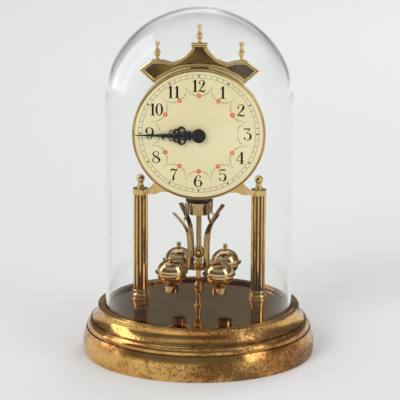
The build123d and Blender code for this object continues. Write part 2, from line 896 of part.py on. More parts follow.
def suspension_drum():
    """Polished cup round the top of the pendulum rod, open below."""
    r = drum_radius
    return turned(
        (rod_radius, drum_top),
        (rod_radius, drum_top - drum_wall),
        (r - drum_wall, drum_top - drum_wall),
        (r - drum_wall, drum_bottom),
        (r, drum_bottom),
        (r, drum_top - 0.3),
        (r - 0.3, drum_top, 0.1),
    )


def pendulum_rod():
    """Hanging rod: collar and spindle in the housing, then the long rod down to the vase."""
    collar_low = collar_floor + collar_play
    return turned(
        (0, vase_top),
        (rod_radius, vase_top),
        (rod_radius, drum_top),
        (spindle_radius, drum_top),
        (spindle_radius, collar_low),
        (collar_radius, collar_low),
        (collar_radius, collar_low + collar_thickness),
        (0, collar_low + collar_thickness),
    )


def upper_vase():
    """Egg-shaped knop between the rod and the hub."""
    h = vase_height
    r = vase_radius
    return turned(
        (0, hub_top),
        (r * 0.62, hub_top),
        (r * 0.72, hub_top + 0.1 * h, 0.15),
        (r * 0.6, hub_top + 0.16 * h),
        (r, hub_top + 0.5 * h, 0.35),
        (r * 0.6, hub_top + 0.92 * h, 0.4),
        (rod_radius, vase_top),
        (0, vase_top),
    )


def pendulum_hub():
    """Ringed hub on top of the cross plate."""
    h = hub_height
    r = hub_radius
    return turned(
        (0, cross_top),
        (r, cross_top),
        (r, cross_top + 0.3 * h, 0.3),
        (r * 0.6, cross_top + 0.42 * h),
        (r * 0.6, cross_top + 0.6 * h),
        (r * 0.85, cross_top + 0.8 * h, 0.25),
        (r * 0.7, hub_top),
        (0, hub_top),
    )


def pendulum_cross():
    """Stamped plate: a hub disc and four arms, each ending in the disc that a ball is built on."""
    face = Circle(cross_hub_radius)
    for angle in ball_angles:
        arm = Pos(ball_circle_radius / 2, 0) * Rectangle(ball_circle_radius, cross_arm_width)
        arm += Pos(ball_circle_radius, 0) * Circle(ball_flange_radius)
        face += Rot(0, 0, angle) * arm
    for angle in ball_angles:
        face -= Rot(0, 0, angle) * Pos(ball_circle_radius, 0) * Circle(knob_stem_radius + 0.1)
    cross = Pos(0, 0, cross_bottom) * extrude(face, amount=cross_thickness)
    for angle in ball_angles:
        cross += Rot(0, 0, angle) * arm_bar()
    return cross


def arm_bar():
    """Round beaded bar that stiffens the +X arm between the strap's foot and the ball."""
    start = strap_foot_radius + strap_thickness
    end = ball_circle_radius - ball_radius - 0.15
    middle = (start + end) / 2
    r = arm_bar_radius
    bar = turned(
        (0, start),
        (r, start),
        (r, middle - arm_bead_radius),
        (r, middle + arm_bead_radius, arm_bead_radius * 0.45),
        (r, end),
        (0, end),
    )
    return Pos(0, 0, ball_z) * Rot(0, 90, 0) * bar


def ball_half():
    """Upper half shell of a ball on the +X arm, with a hole for the knob's stem."""
    inner_radius = ball_radius - ball_wall
    inner_height = ball_half_height - ball_wall
    hole = knob_stem_radius + 0.1
    shell = scale(Sphere(ball_radius), by=(1, 1, ball_half_height / ball_radius))
    shell -= scale(Sphere(inner_radius), by=(1, 1, inner_height / inner_radius))
    shell -= Cylinder(hole, 4 * ball_radius)
    shell &= block(-ball_radius * 2, ball_radius * 2, -ball_radius * 2, ball_radius * 2, 0, ball_radius * 2)
    return shell


def ball_upper():
    """Upper half of a ball, standing on the cross plate."""
    return Pos(ball_circle_radius, 0, cross_top) * ball_half()


def ball_lower():
    """Lower half of a ball, under the cross plate."""
    return Pos(ball_circle_radius, 0, cross_bottom) * mirror(ball_half(), Plane.XY)


def ball_knob():
    """Small ball knob whose stem runs down through the ball into the cap."""
    top = cross_top + ball_half_height
    r = ball_knob_radius
    stem_end = cross_bottom - ball_half_height - 0.5 * ball_cap_height
    knob = turned(
        (0, stem_end),
        (knob_stem_radius, stem_end),
        (knob_stem_radius, top),
        (1.5, top),
        (0.9, top + 0.8, -0.1),
        *capped((r, top + 0.8 + r * 0.9, 0.4), (0, top + 0.8 + 2 * r * 0.9)),
    )
    return Pos(ball_circle_radius, 0, 0) * knob


def ball_cap():
    """Drum-shaped nut under a ball."""
    top = cross_bottom - ball_half_height
    dish = ball_half_height * (1 - math.sqrt(1 - (ball_cap_radius * 0.8 / ball_radius) ** 2))
    low = top - ball_cap_height
    drum = turned(
        (0, low),
        (ball_cap_radius - 0.3, low),
        (ball_cap_radius, low + 0.3, 0.1),
        (ball_cap_radius, top - 0.2),
        (ball_cap_radius * 0.8, top + dish * 0.6),
        (ball_cap_radius * 0.55, top),
        (0, top),
    )
    drum -= rod(knob_stem_radius + 0.1, top - 0.5 * ball_cap_height - 0.3, top + 1)
    drum = Pos(ball_circle_radius, 0, 0) * drum
    return drum - ball_solid()


def ball_solid():
    """Filled lower ball, used to hollow the seat of the cap."""
    half = scale(Sphere(ball_radius + 0.02), by=(1, 1, ball_half_height / ball_radius))
    return Pos(ball_circle_radius, 0, cross_bottom) * half


def band(path, thickness, width):
    """Flat band with a path in the x-z plane as its middle line, its width along y."""
    inner = []
    outer = []
    for k in range(9):
        along = path.tangent_at(k / 8)
        side = Vector(along.Z, 0, -along.X) * (thickness / 2)
        outer.append(path.position_at(k / 8) + side)
        inner.append(path.position_at(k / 8) - side)
    edges = [Spline(*outer), Line(outer[-1], inner[-1]), Spline(*inner[::-1]), Line(inner[0], outer[0])]
    return extrude(make_face(edges), amount=width / 2, both=True)


def strap():
    """Curved ribbon on the +X side: it stands on the hub disc and flares out at the top."""
    low = cross_top
    tip = drum_top - strap_tip_drop
    rise = tip - low
    waist = strap_waist_radius
    path = [
        Vector(strap_foot_radius, 0, low),
        Vector(waist, 0, low + 0.34 * rise),
        Vector(waist + 1.0, 0, low + 0.59 * rise),
        Vector(waist + 3.4, 0, low + 0.73 * rise),
        Vector(waist + 7.0, 0, low + 0.85 * rise),
        Vector(strap_tip_radius, 0, tip),
    ]
    ribbon = band(Spline(*path, tangents=((0, 0, 1), (1, 0, 0.45))), strap_thickness, strap_width)
    tread = block(strap_foot_radius - strap_thickness / 2, strap_foot_radius + strap_thickness / 2,
                  -strap_width / 2, strap_width / 2, low, low + 0.5)
    return ribbon + tread + strap_finger(waist + 5.4, low + 0.805 * rise)


def strap_finger(start_radius, start_level):
    """Thin finger that curls in from the strap and stands beside the drum."""
    turn_low = drum_bottom - 2.8
    path = [
        Vector(start_radius, 0, start_level),
        Vector(finger_radius + 1.2, 0, turn_low),
        Vector(finger_radius - 0.4, 0, drum_bottom - 0.6),
        Vector(finger_radius, 0, drum_bottom + 2.0),
        Vector(finger_radius, 0, drum_top + finger_top_rise),
    ]
    return band(Spline(*path, tangents=((-0.7, 0, -0.5), (0, 0, 1))), finger_thickness, finger_width)


def pendulum_tail():
    """Spindle under the cross with a small vase, ending in the guide pin."""
    top = cross_bottom
    shoulder = tail_shoulder
    span = top - shoulder
    r = tail_vase_radius
    t = tail_radius
    tail = turned(
        (0, tail_tip),
        (tail_pin_radius, tail_tip),
        (tail_pin_radius, shoulder),
        (t * 0.9, shoulder),
        (t * 0.9, shoulder + 0.08 * span),
        (r * 0.75, shoulder + 0.2 * span, -0.2),
        (r, shoulder + 0.42 * span, 0.3),
        (r * 0.6, shoulder + 0.5 * span, 0.15),
        (t, shoulder + 0.54 * span),
        (t, shoulder + 0.9 * span),
        (t * 1.6, shoulder + 0.95 * span, 0.1),
        (t * 1.6, top),
        (0, top),
    )
    flute = rod(tail_flute_radius, shoulder + 0.3 * span, shoulder + 0.53 * span)
    for k in range(tail_flute_count):
        tail -= Rot(0, 0, 360.0 * k / tail_flute_count) * Pos(r, 0, 0) * flute
    return tail


def all_pieces():
    """Every node's name and its solids."""
    pieces = {
        "base_shell": base_shell(),
        "base_cover": base_cover(),
        "base_felt": base_felt(),
        "deck_plate": deck_plate(),
        "dome_seat": dome_seat(),
        "glass_dome": glass_dome(),
        "guide_post": guide_post(),
        "tie_rods": tie_rods(),
        "tie_rod_nuts": tie_rod_nuts(),
        "support_bracket": support_bracket(),
        "pediment": pediment(),
        "dial_pan": dial_pan(),
        "dial_plate": dial_plate(),
        "neck_nut": neck_nut(),
        "case_front": case_front(),
        "case_back": case_back(),
        "step_motor": step_motor(),
        "circuit_board": circuit_board(),
        "battery_contacts": battery_contacts(),
        "battery": battery(),
        "drive_housing": drive_housing(),
        "minute_arbor": minute_arbor(),
        "hour_wheel": hour_wheel(),
        "setting_wheel": setting_wheel(),
        "setting_knob": setting_knob(),
        "minute_hand": minute_hand(),
        "hour_hand": hour_hand(),
        "hand_cap": hand_cap(),
        "suspension_drum": suspension_drum(),
        "pendulum_rod": pendulum_rod(),
        "upper_vase": upper_vase(),
        "pendulum_hub": pendulum_hub(),
        "pendulum_cross": pendulum_cross(),
        "pendulum_tail": pendulum_tail(),
        "ball_knobs": list(around_pendulum(ball_knob()).values()),
        "ball_caps": list(around_pendulum(ball_cap()).values()),
    }
    for name, maker in (("column_foot", column_foot), ("column_tube", column_tube),
                        ("column_capital", column_capital), ("column_finial", column_finial)):
        for side, piece in at_columns(maker()).items():
            pieces[f"{name}_{side}"] = piece
    for name, maker in (("strap", strap), ("ball_upper", ball_upper), ("ball_lower", ball_lower)):
        for place, piece in around_pendulum(maker()).items():
            pieces[f"{name}_{place}"] = piece
    finial = pediment_finial()
    lobe_level = dial_z + lobe_outer[1]
    pieces["finial_middle"] = Pos(0, pediment_middle, dial_z + pedestal_top) * finial
    pieces["finial_left"] = Pos(-side_finial_offset, pediment_middle, lobe_level) * finial
    pieces["finial_right"] = Pos(side_finial_offset, pediment_middle, lobe_level) * finial
    return pieces


def write(pieces):
    """One STEP file per node."""
    os.makedirs("parts", exist_ok=True)
    for name, piece in pieces.items():
        shape = Compound(children=piece) if isinstance(piece, list) else piece
        export_step(shape, f"parts/{name}.step")


write(all_pieces())
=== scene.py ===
import json
import math

import bmesh
import bpy
import numpy as np
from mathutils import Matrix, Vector
from mathutils.geometry import tessellate_polygon


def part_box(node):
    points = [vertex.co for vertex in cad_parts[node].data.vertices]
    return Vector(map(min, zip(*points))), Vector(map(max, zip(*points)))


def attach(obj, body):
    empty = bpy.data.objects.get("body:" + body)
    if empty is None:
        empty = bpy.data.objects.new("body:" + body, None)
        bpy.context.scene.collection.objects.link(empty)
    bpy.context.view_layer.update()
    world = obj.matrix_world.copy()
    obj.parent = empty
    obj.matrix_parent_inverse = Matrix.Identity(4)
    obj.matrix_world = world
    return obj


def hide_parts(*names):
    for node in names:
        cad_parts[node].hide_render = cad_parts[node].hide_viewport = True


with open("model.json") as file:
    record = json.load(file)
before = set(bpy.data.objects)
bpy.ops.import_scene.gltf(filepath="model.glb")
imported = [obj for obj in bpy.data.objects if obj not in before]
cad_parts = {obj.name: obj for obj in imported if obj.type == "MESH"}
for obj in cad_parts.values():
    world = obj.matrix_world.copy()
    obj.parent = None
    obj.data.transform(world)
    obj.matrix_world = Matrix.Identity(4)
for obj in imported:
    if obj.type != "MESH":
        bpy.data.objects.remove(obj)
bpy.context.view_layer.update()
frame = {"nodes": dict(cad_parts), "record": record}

MM = 0.001

# Where the dial is, read from the frame
dial_low, dial_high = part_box("dial_plate")
DIAL_Z = (dial_low.z + dial_high.z) / 2 / MM
DIAL_FRONT = dial_low.y / MM

# The dial's printing, in millimetres from its centre
PRINT_HEIGHT = 0.03
PRINT_SINK = 0.02
PRINT_RISE = 0.85  # of the print's centre over the dial's
GILT_RADIUS = 41.2
GILT_EDGE = 0.15
TRACK_OUTER = 38.9
TRACK_INNER = 36.6
TRACK_LINE = 0.2
TICK_HALF = 0.75
TICK_WIDTH = 0.34
LOZENGE_HALF = 0.95
LOZENGE_WIDTH = 1.4
POINT_WIDTH = 0.05
NUMERAL_RADIUS = 31.4
NUMERAL_HEIGHT = 8.0
FLOWER_RADIUS = 24.9
CUSP_RADIUS = 31.6
STEM_LINE = [(1.2, -0.1), (3.4, 0.5), (5.6, 1.9), (7.2, 3.6)]  # distance aside, height over the flower
STEM_WIDTHS = (0.2, 0.13)
LEAF_WIDTHS = (0.05, 0.34, 0.44, 0.32, 0.05)
LEAF_PLACES = ((3, 1), (5, -1), (8, 1), (10, -1), (13, 1))  # point of the stem, side of it
LEAF_SPAN = (0.05, 1.0)
LEAF_AIM = (0.75, 0.65)  # along the stem, aside
LEAF_RISE = 0.01
PETALS = 6
PETAL_RING = 1.0
PETAL_RADIUS = 0.62
PETAL_TURN = 0.3  # radians an hour
PETAL_RISE = 0.015
HEART_RADIUS = 0.55
HEART_RISE = 0.03
BARE_HOURS = (3, 9)

# Column tops, in millimetres; the ball's profile as (radius, height above the eye), round part as angles
ROD_HOLE = 1.6
DRUM_RADIUS = 5.25
DRUM_STEP = 0.2
BALL_RADIUS = 2.9
BALL_LEVEL = 6.6
BALL_ARC = (-49.0, 78.0)
BALL_FOOT = [(0.0, 0.0), (2.4, 0.0), (2.4, 0.75), (2.28, 0.95), (2.05, 1.1), (2.2, 1.25), (2.3, 1.5),
             (2.3, 1.9), (2.15, 2.2), (1.95, 2.45), (1.88, 3.5)]
BALL_POINT = [(0.46, 9.5), (0.42, 9.72), (0.25, 9.85), (0.0, 9.9)]

# Crown finial, as (radius, height above its foot): foot and neck, round bulb, stem and head
FINIAL_FOOT = [(0.0, 0.0), (2.1, 0.0), (2.1, 0.3), (1.5, 0.8), (1.1, 1.5), (1.0, 2.2), (1.15, 2.6),
               (1.6, 2.75), (1.6, 3.0), (1.2, 3.15)]
BULB_RADIUS = 2.1
BULB_LEVEL = 5.0
BULB_ARC = (-55.0, 58.0)
FINIAL_HEAD = [(1.0, 6.9), (1.45, 7.05), (1.45, 7.3), (1.0, 7.5), (0.85, 8.4), (0.9, 9.3), (1.3, 10.1),
               (1.65, 10.7), (1.7, 11.3), (1.45, 11.75), (0.8, 12.1), (0.4, 12.2), (0.3, 12.35), (0.0, 12.4)]

# Bracket: half outline of its plate as (distance out, level), then its wing's lowest and highest levels
# at the root and at the column's eye
PLATE_HALF = [(9.4, 109.2), (24.5, 108.4), (29.0, 106.5), (29.0, 113.6), (18.0, 160.5)]
PLATE_BACK = -4.0
PLATE_THICKNESS = 1.5
NECK_HOLE = 5.1
WING_ROOT = (106.5, 113.6)
EYE_LEVELS = (103.3, 105.1)
WING_NECK = 5.0
WING_EDGE = 1.0
WING_SINK = 0.4
WING_TOE = 3.0
WING_OVERLAP = 0.2  # of the eye's radius

# Pendulum straps and their fingers, as (distance from the axis, level)
STRAP_LINE = [(7.9, 56.8), (7.62, 63.0), (7.6, 70.0), (8.6, 79.8), (11.0, 85.3), (14.6, 89.9), (20.2, 95.8)]
STRAP_WIDTH = 3.0
STRAP_THICKNESS = 0.9
STRAP_RIM = 0.4
STRAP_SLOPE = 0.2
STRAP_SINK = 0.25
FINGER_LINE = [(13.0, 88.2), (11.9, 90.2), (10.4, 92.4), (10.6, 95.0), (10.7, 98.0), (10.7, 101.3)]
FINGER_WIDTH = 1.4
FINGER_THICKNESS = 0.6
STRAP_TURNS = {"back_right": 38.2, "back_left": 128.2, "front_left": 218.2, "front_right": 308.2}

# Crown outline, right half, from the dial's centre: its top corner, three points of its sweep, the corners
# of its lobe, and the radius of its arch over the dial with the angle at which that ends
CROWN_CORNER = (5.1, 58.6)
CROWN_SWEEP = [(5.1, 55.4), (9.6, 50.4), (17.5, 45.9)]
CROWN_LOBE = [(22.8, 47.4), (30.6, 47.4), (39.0, 41.1)]
CROWN_ARCH = 43.5
CROWN_FOOT = math.radians(48.0)
# Beads: a small bright circle carried along the crown's edge and round its panel, a painted highlight on
# those edges; its radius, insets and sink into the face
BEAD_RADIUS = 0.28
BEAD_INSETS = (0.45, 1.75)
BEAD_SINK = 0.05

# Places on the brass that its colour follows, in millimetres: the flutes' radii, for painted shade in the
# flutes;
# the base's levels, for its browner foot band and painted shade in its grooves, and the span over which it
# grows browner to the right; and depths behind the crown's face, for its painted highlight and painted
# reflection
FLUTE_FLOOR = 4.25
FLUTE_CREST = 4.82
FOOT_GROOVE = 17.1
BAND_GROOVE = 22.7
GROOVE_HALF = 0.3
GROOVE_SOFT = 0.6
FOOT_BAND = (8.0, 16.0)
BROWNER_SIDE = (-60.0, 50.0)
FACE_DEPTHS = (0.02, 0.06)
PANEL_START = (0.6, 0.97)
PANEL_END = (1.02, 1.1)

# Camera, from the photograph's perspective
CAMERA_DISTANCE = 1.8
CAMERA_ELEVATION = math.radians(13.8)
CAMERA_AZIMUTH = math.radians(1.35)
CAMERA_ROLL = math.radians(0.3)
CAMERA_TARGET = Vector((0.00067, 0.0, 0.1016))
FOCAL_PIXELS = 2748.0
IMAGE_PIXELS = 400
SENSOR = 36.0

# Floor: its grey, and half its width in millimetres
FLOOR_TONE = 0.86
FLOOR_HALF = 6000.0

# Light of the studio's walls: as seen straight or through glass, as it lights dull surfaces, and as
# metal mirrors it, dim above, with light added below, in a soft ring and in three windows
SEEN_LIGHT = 0.9
DULL_LIGHT = 0.55
DIM_ABOVE = 0.16
PALE_BELOW = 0.74
PALE_LEVELS = (0.0, 0.2)
RING_LIGHT = 0.34
RING_LEVELS = (0.7, 0.05, 0.16)
SIDE_WINDOW_LIGHT = 2.3
TOP_WINDOW_LIGHT = 0.8

# Windows: azimuth and elevation of the middle in degrees, half width, half height and soft edge as sines
LEFT_WINDOW = (-98.0, 28.0, 0.19, 0.36, 0.08)
RIGHT_WINDOW = (62.0, 28.0, 0.15, 0.34, 0.08)
TOP_WINDOW = (200.0, 70.0, 0.3, 0.25, 0.2)

# Lamps: size in metres, power in watts, place in metres and colour; each one looks at the clock's middle
CLOCK_MIDDLE = (0.0, 0.0, 0.11)
KEY_LAMP = (1.8, 84.0, (-2.0, -3.2, 2.4), (1.0, 0.98, 0.95))
FILL_LAMP = (1.8, 40.0, (2.8, -2.6, 1.3), (0.97, 0.98, 1.0))
BACK_LAMP = (0.7, 7.0, (0.6, 1.5, 1.2), (1.0, 1.0, 1.0))


class Value:
    """A shader socket, so that maths on it is written as an expression."""

    def __init__(self, tree, socket):
        self.tree = tree
        self.socket = socket

    def node(self, kind, settings=None, inputs=None, output=0):
        """Adds a node: its settings, then its sockets' values or links; gives one of its outputs."""
        made = self.tree.nodes.new(kind)
        for name, setting in (settings or {}).items():
            setattr(made, name, setting)
        for name, value in (inputs or {}).items():
            if isinstance(value, Value):
                self.tree.links.new(value.socket, made.inputs[name])
            else:
                made.inputs[name].default_value = value
        return Value(self.tree, made.outputs[output])

    def maths(self, operation, *others):
        """A Math node on this value and others."""
        return self.node("ShaderNodeMath", {"operation": operation}, dict(enumerate((self,) + others)))

    # The operators add Math nodes; a number less this value is this value times -1 plus the number
    def __add__(self, other):
        return self.maths("ADD", other)

    __radd__ = __add__

    def __sub__(self, other):
        return self.maths("SUBTRACT", other)

    def __rsub__(self, other):
        return self.maths("MULTIPLY", -1.0).maths("ADD", other)

    def __mul__(self, other):
        return self.maths("MULTIPLY", other)

    __rmul__ = __mul__

    def dot(self, vector):
        """How far this vector reaches along another."""
        settings = {"operation": "DOT_PRODUCT"}
        return self.node("ShaderNodeVectorMath", settings, {0: self, 1: tuple(vector)}, 1)

    def part(self, axis):
        """This vector's X, Y or Z."""
        return self.node("ShaderNodeSeparateXYZ", None, {0: self}, "XYZ".index(axis))

    def near(self, middle, half, soft):
        """1 within half of the middle, 0 beyond, smooth over soft."""
        away = (self - middle).maths("ABSOLUTE")
        return 1.0 - away.step(half, half + soft)

    def step(self, low, high):
        """0 below low, 1 above high, smooth between."""
        settings = {"interpolation_type": "SMOOTHSTEP"}
        return self.node("ShaderNodeMapRange", settings, {0: self, 1: low, 2: high})

    def blend(self, first, second):
        """The first colour where this value is 0 and the second where it is 1."""
        return self.node("ShaderNodeMix", {"data_type": "RGBA"}, {0: self, 6: first, 7: second}, 2)


def rgb(red, green, blue):
    """A colour written as sRGB from 0 to 255, as linear light."""
    def linear(c):
        """The sRGB curve: a straight foot, then ((c + 0.055) / 1.055) to the power 2.4."""
        c = c / 255
        return c / 12.92 if c <= 0.04045 else ((c + 0.055) / 1.055) ** 2.4
    return (linear(red), linear(green), linear(blue), 1.0)


def new_material(name):
    """An empty material with its output and Principled shader, and a starting value in object space."""
    material = bpy.data.materials.new(name)
    material.use_nodes = True
    tree = material.node_tree
    shader = tree.nodes["Principled BSDF"]
    place = Value(tree, None).node("ShaderNodeTexCoord", None, None, "Object")
    return material, shader, place


def noise(place, scale, detail=2.0, roughness=0.5, stretch=None):
    """Noise from 0 to 1 on object coordinates, its scale in waves per metre."""
    if stretch:
        place = place.node("ShaderNodeMapping", None, {"Vector": place, "Scale": stretch})
    inputs = {"Vector": place, "Scale": scale, "Detail": detail, "Roughness": roughness}
    return place.node("ShaderNodeTexNoise", None, inputs)


def bump(place, height, distance, strength=1.0):
    """A bumped normal from a height between 0 and 1."""
    return place.node("ShaderNodeBump", None, {"Height": height, "Distance": distance, "Strength": strength})


def link(shader, name, value):
    """Feeds a shader's socket with a value that changes over the surface."""
    value.tree.links.new(value.socket, shader.inputs[name])


def brass(name, bright, dull, tarnish, roughness):
    """Lacquered brass: soft tone changes, brown tarnish in blotches and fine polishing marks."""
    material, shader, place = new_material(name)
    tone = noise(place, 60.0, 3.0)
    blotch = noise(place, 150.0, 6.0, 0.65)
    speck = noise(place, 900.0, 3.0, 0.6)
    stain = (blotch * 0.7 + speck * 0.3).step(0.6, 0.7) * 0.4
    link(shader, "Base Color", stain.blend(tone.step(0.3, 0.7).blend(bright, dull), tarnish))
    link(shader, "Roughness", roughness + 0.04 * speck + 0.2 * stain)
    link(shader, "Normal", bump(place, noise(place, 1500.0, 2.0), 0.00002, 0.2))
    shader.inputs["Metallic"].default_value = 1.0
    return material


def streaked_brass(name, bright, dark):
    """Pendulum brass: mirror polish with upright streaks of a darker tone."""
    material, shader, place = new_material(name)
    streak = noise(place, 210.0, 3.0, 0.55, (1.0, 1.0, 0.12)).step(0.4, 0.62)
    link(shader, "Base Color", streak.blend(bright, dark))
    link(shader, "Roughness", 0.04 + 0.05 * noise(place, 900.0, 3.0))
    shader.inputs["Metallic"].default_value = 1.0
    return material


def fluted_brass(name, node):
    """Column brass: painted shade darkens the flutes and the ribs stay bright, with tarnish specks along it.
    """
    material, shader, place = new_material(name)
    low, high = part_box(node)
    x = place.part("X") - (low.x + high.x) / 2
    y = place.part("Y") - (low.y + high.y) / 2
    out = (x * x + y * y).maths("SQRT")
    # Painted shade: the flutes, nearer the axis than the ribs, are painted dark brown.
    unshaded_rib = out.step(FLUTE_FLOOR * MM, FLUTE_CREST * MM)
    specks = noise(place, 420.0, 5.0, 0.7, (1.0, 1.0, 0.4)).step(0.56, 0.66)
    tone = noise(place, 40.0, 3.0).step(0.3, 0.7)
    colour = unshaded_rib.blend(rgb(92, 60, 24), tone.blend(rgb(250, 208, 126), rgb(226, 174, 92)))
    link(shader, "Base Color", (specks * 0.55).blend(colour, rgb(92, 60, 26)))
    link(shader, "Roughness", 0.09 + 0.16 * specks)
    shader.inputs["Metallic"].default_value = 1.0
    return material


def spun_base_brass():
    """Base brass: gold and copper patches, brown clouds and dark specks, a little browner on the foot band
    and towards the right, and painted shade along its two grooves.
    """
    material, shader, place = new_material("worn_base_brass")
    clouds = noise(place, 38.0, 5.0, 0.62, (1.0, 1.0, 2.2))
    copper = noise(place, 24.0, 3.0, 0.5, (1.0, 1.0, 2.0))
    specks = noise(place, 560.0, 6.0, 0.72)
    level = place.part("Z")
    foot = 1.0 - level.step(FOOT_BAND[0] * MM, FOOT_BAND[1] * MM)
    side = place.part("X").step(BROWNER_SIDE[0] * MM, BROWNER_SIDE[1] * MM)
    brown = (clouds + 0.08 * side + 0.02 * foot).step(0.46, 0.7)
    dots = (specks * 0.65 + clouds * 0.35 + 0.02 * side + 0.01 * foot).step(0.5, 0.58)
    gold = copper.step(0.46, 0.66).blend(rgb(232, 184, 108), rgb(194, 134, 74))
    colour = (brown * 0.62).blend(gold, rgb(136, 94, 54))
    colour = (dots * 0.55).blend(colour, rgb(62, 45, 28))
    # Painted shade: the two grooves between the bands are darkened where shade falls in them.
    groove_shade = (level.near(FOOT_GROOVE * MM, GROOVE_HALF * MM, GROOVE_SOFT * MM)
             + level.near(BAND_GROOVE * MM, GROOVE_HALF * MM, GROOVE_SOFT * MM))
    colour = (groove_shade * 0.4).blend(colour, rgb(58, 38, 20))
    link(shader, "Base Color", colour)
    link(shader, "Roughness", 0.12 + 0.12 * brown + 0.2 * dots)
    link(shader, "Normal", bump(place, specks, 0.00005, 0.3))
    shader.inputs["Metallic"].default_value = 1.0
    return material


def deck_mirror():
    """Smoky mirror brass of the deck, with faint smears."""
    material, shader, place = new_material("deck_mirror_brass")
    smear = noise(place, 45.0, 4.0, 0.6, (1.0, 2.5, 1.0))
    dust = noise(place, 1600.0, 2.0, 0.6).step(0.62, 0.7)
    link(shader, "Base Color", smear.step(0.35, 0.65).blend(rgb(204, 158, 80), rgb(178, 130, 62)))
    link(shader, "Roughness", 0.035 + 0.05 * smear + 0.1 * dust)
    shader.inputs["Metallic"].default_value = 1.0
    return material


def crown_brass():
    """Pediment brass: painted highlight on its edges and slopes, and painted reflection: a darker flat front
    face and a sunk panel painted dark brown with lighter clouds.
    """
    material, shader, place = new_material("crown_brass")
    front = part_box("pediment")[0].y
    depth = place.part("Y") - front
    past_panel = depth.step(PANEL_END[0] * MM, PANEL_END[1] * MM)
    sunk = depth.step(PANEL_START[0] * MM, PANEL_START[1] * MM) * (1.0 - past_panel)
    flat = 1.0 - depth.step(FACE_DEPTHS[0] * MM, FACE_DEPTHS[1] * MM)
    cloud = noise(place, 34.0, 2.0, 0.4, (1.0, 1.0, 1.6)).step(0.4, 0.62)
    # Painted highlight on the edges and slopes behind the front face; the flat front face is painted darker
    # as a painted reflection.
    border = flat.blend(rgb(244, 220, 156), rgb(160, 128, 70))
    # Painted reflection: the sunk panel is painted dark brown with lighter clouds, for the dim surroundings
    # that it mirrors.
    mirror = cloud.blend(rgb(84, 60, 32), rgb(134, 106, 60))
    link(shader, "Base Color", sunk.blend(border, mirror))
    link(shader, "Roughness", 0.06 + 0.05 * noise(place, 700.0, 3.0))
    shader.inputs["Metallic"].default_value = 1.0
    return material


def clear_glass():
    """Blown glass that lets lamps and the light off the brass pass straight through."""
    material, shader, place = new_material("blown_glass")
    shader.inputs["Base Color"].default_value = (0.985, 0.995, 0.99, 1.0)
    shader.inputs["Roughness"].default_value = 0.0
    shader.inputs["Transmission Weight"].default_value = 1.0
    shader.inputs["IOR"].default_value = 1.46
    shader.inputs["Specular Tint"].default_value = (0.2, 0.2, 0.2, 1.0)
    link(shader, "Normal", bump(place, noise(place, 14.0, 1.0), 0.0006, 0.3))
    tree = material.node_tree
    rays = {name: place.node("ShaderNodeLightPath", None, None, name) for name in (
        "Is Shadow Ray", "Is Diffuse Ray", "Is Glossy Ray", "Is Transmission Ray")}
    bounced = rays["Is Glossy Ray"] * (1.0 - rays["Is Transmission Ray"])
    passing = bounced.maths("MAXIMUM", rays["Is Shadow Ray"]).maths("MAXIMUM", rays["Is Diffuse Ray"])
    through = place.node("ShaderNodeBsdfTransparent", None, {"Color": (0.96, 0.97, 0.965, 1.0)})
    mixed = place.node("ShaderNodeMixShader", None, {0: passing, 2: through})
    tree.links.new(shader.outputs[0], mixed.socket.node.inputs[1])
    tree.links.new(mixed.socket, tree.nodes["Material Output"].inputs["Surface"])
    return material


def dial_enamel():
    """Cream enamel with a faint warm drift and a smooth gloss."""
    material, shader, place = new_material("cream_dial_enamel")
    drift = noise(place, 30.0, 2.0)
    fine = noise(place, 1200.0, 2.0)
    across = place.part("X")
    up = place.part("Z") - DIAL_Z * MM
    out = (across * across + up * up).maths("SQRT")
    gilt = out.step(GILT_RADIUS * MM, (GILT_RADIUS + GILT_EDGE) * MM)
    cream = drift.step(0.3, 0.7).blend(rgb(228, 216, 173), rgb(222, 208, 163))
    link(shader, "Base Color", gilt.blend(cream, rgb(214, 184, 120)))
    link(shader, "Metallic", gilt)
    link(shader, "Roughness", 0.3 + 0.06 * fine)
    link(shader, "Normal", bump(place, fine, 0.00001, 0.3))
    shader.inputs["Coat Weight"].default_value = 0.15
    return material


def ink(name, colour, other):
    """Matt printing ink that lies slightly uneven."""
    material, shader, place = new_material(name)
    link(shader, "Base Color", noise(place, 700.0, 3.0).step(0.35, 0.65).blend(colour, other))
    shader.inputs["Roughness"].default_value = 0.7
    shader.inputs["Specular IOR Level"].default_value = 0.15
    return material


def black_paint():
    """Satin black on stamped hands."""
    material, shader, place = new_material("satin_black_paint")
    grain = noise(place, 2500.0, 2.0)
    link(shader, "Base Color", grain.blend(rgb(9, 8, 7), rgb(18, 16, 14)))
    link(shader, "Roughness", 0.34 + 0.12 * grain)
    link(shader, "Normal", bump(place, grain, 0.00002, 0.3))
    shader.inputs["Specular IOR Level"].default_value = 0.25
    return material


def moulded_plastic(name, colour, other, roughness):
    """Moulded plastic with a fine spark-eroded grain."""
    material, shader, place = new_material(name)
    grain = noise(place, 3500.0, 3.0, 0.6)
    link(shader, "Base Color", noise(place, 90.0).step(0.3, 0.7).blend(colour, other))
    link(shader, "Roughness", roughness + 0.1 * grain)
    link(shader, "Normal", bump(place, grain, 0.00006, 0.4))
    return material


def pressed_felt():
    """Dark felt: short crossed fibres and small tufts."""
    material, shader, place = new_material("pressed_felt")
    lengthways = noise(place, 2600.0, 5.0, 0.7, (1.0, 3.0, 1.0))
    crossways = noise(place, 2600.0, 5.0, 0.7, (3.0, 1.0, 1.0))
    fibres = lengthways * 0.5 + crossways * 0.5
    link(shader, "Base Color", fibres.step(0.35, 0.65).blend(rgb(20, 26, 20), rgb(52, 58, 48)))
    link(shader, "Roughness", 0.85 + 0.15 * fibres)
    link(shader, "Normal", bump(place, fibres, 0.0003, 0.7))
    return material


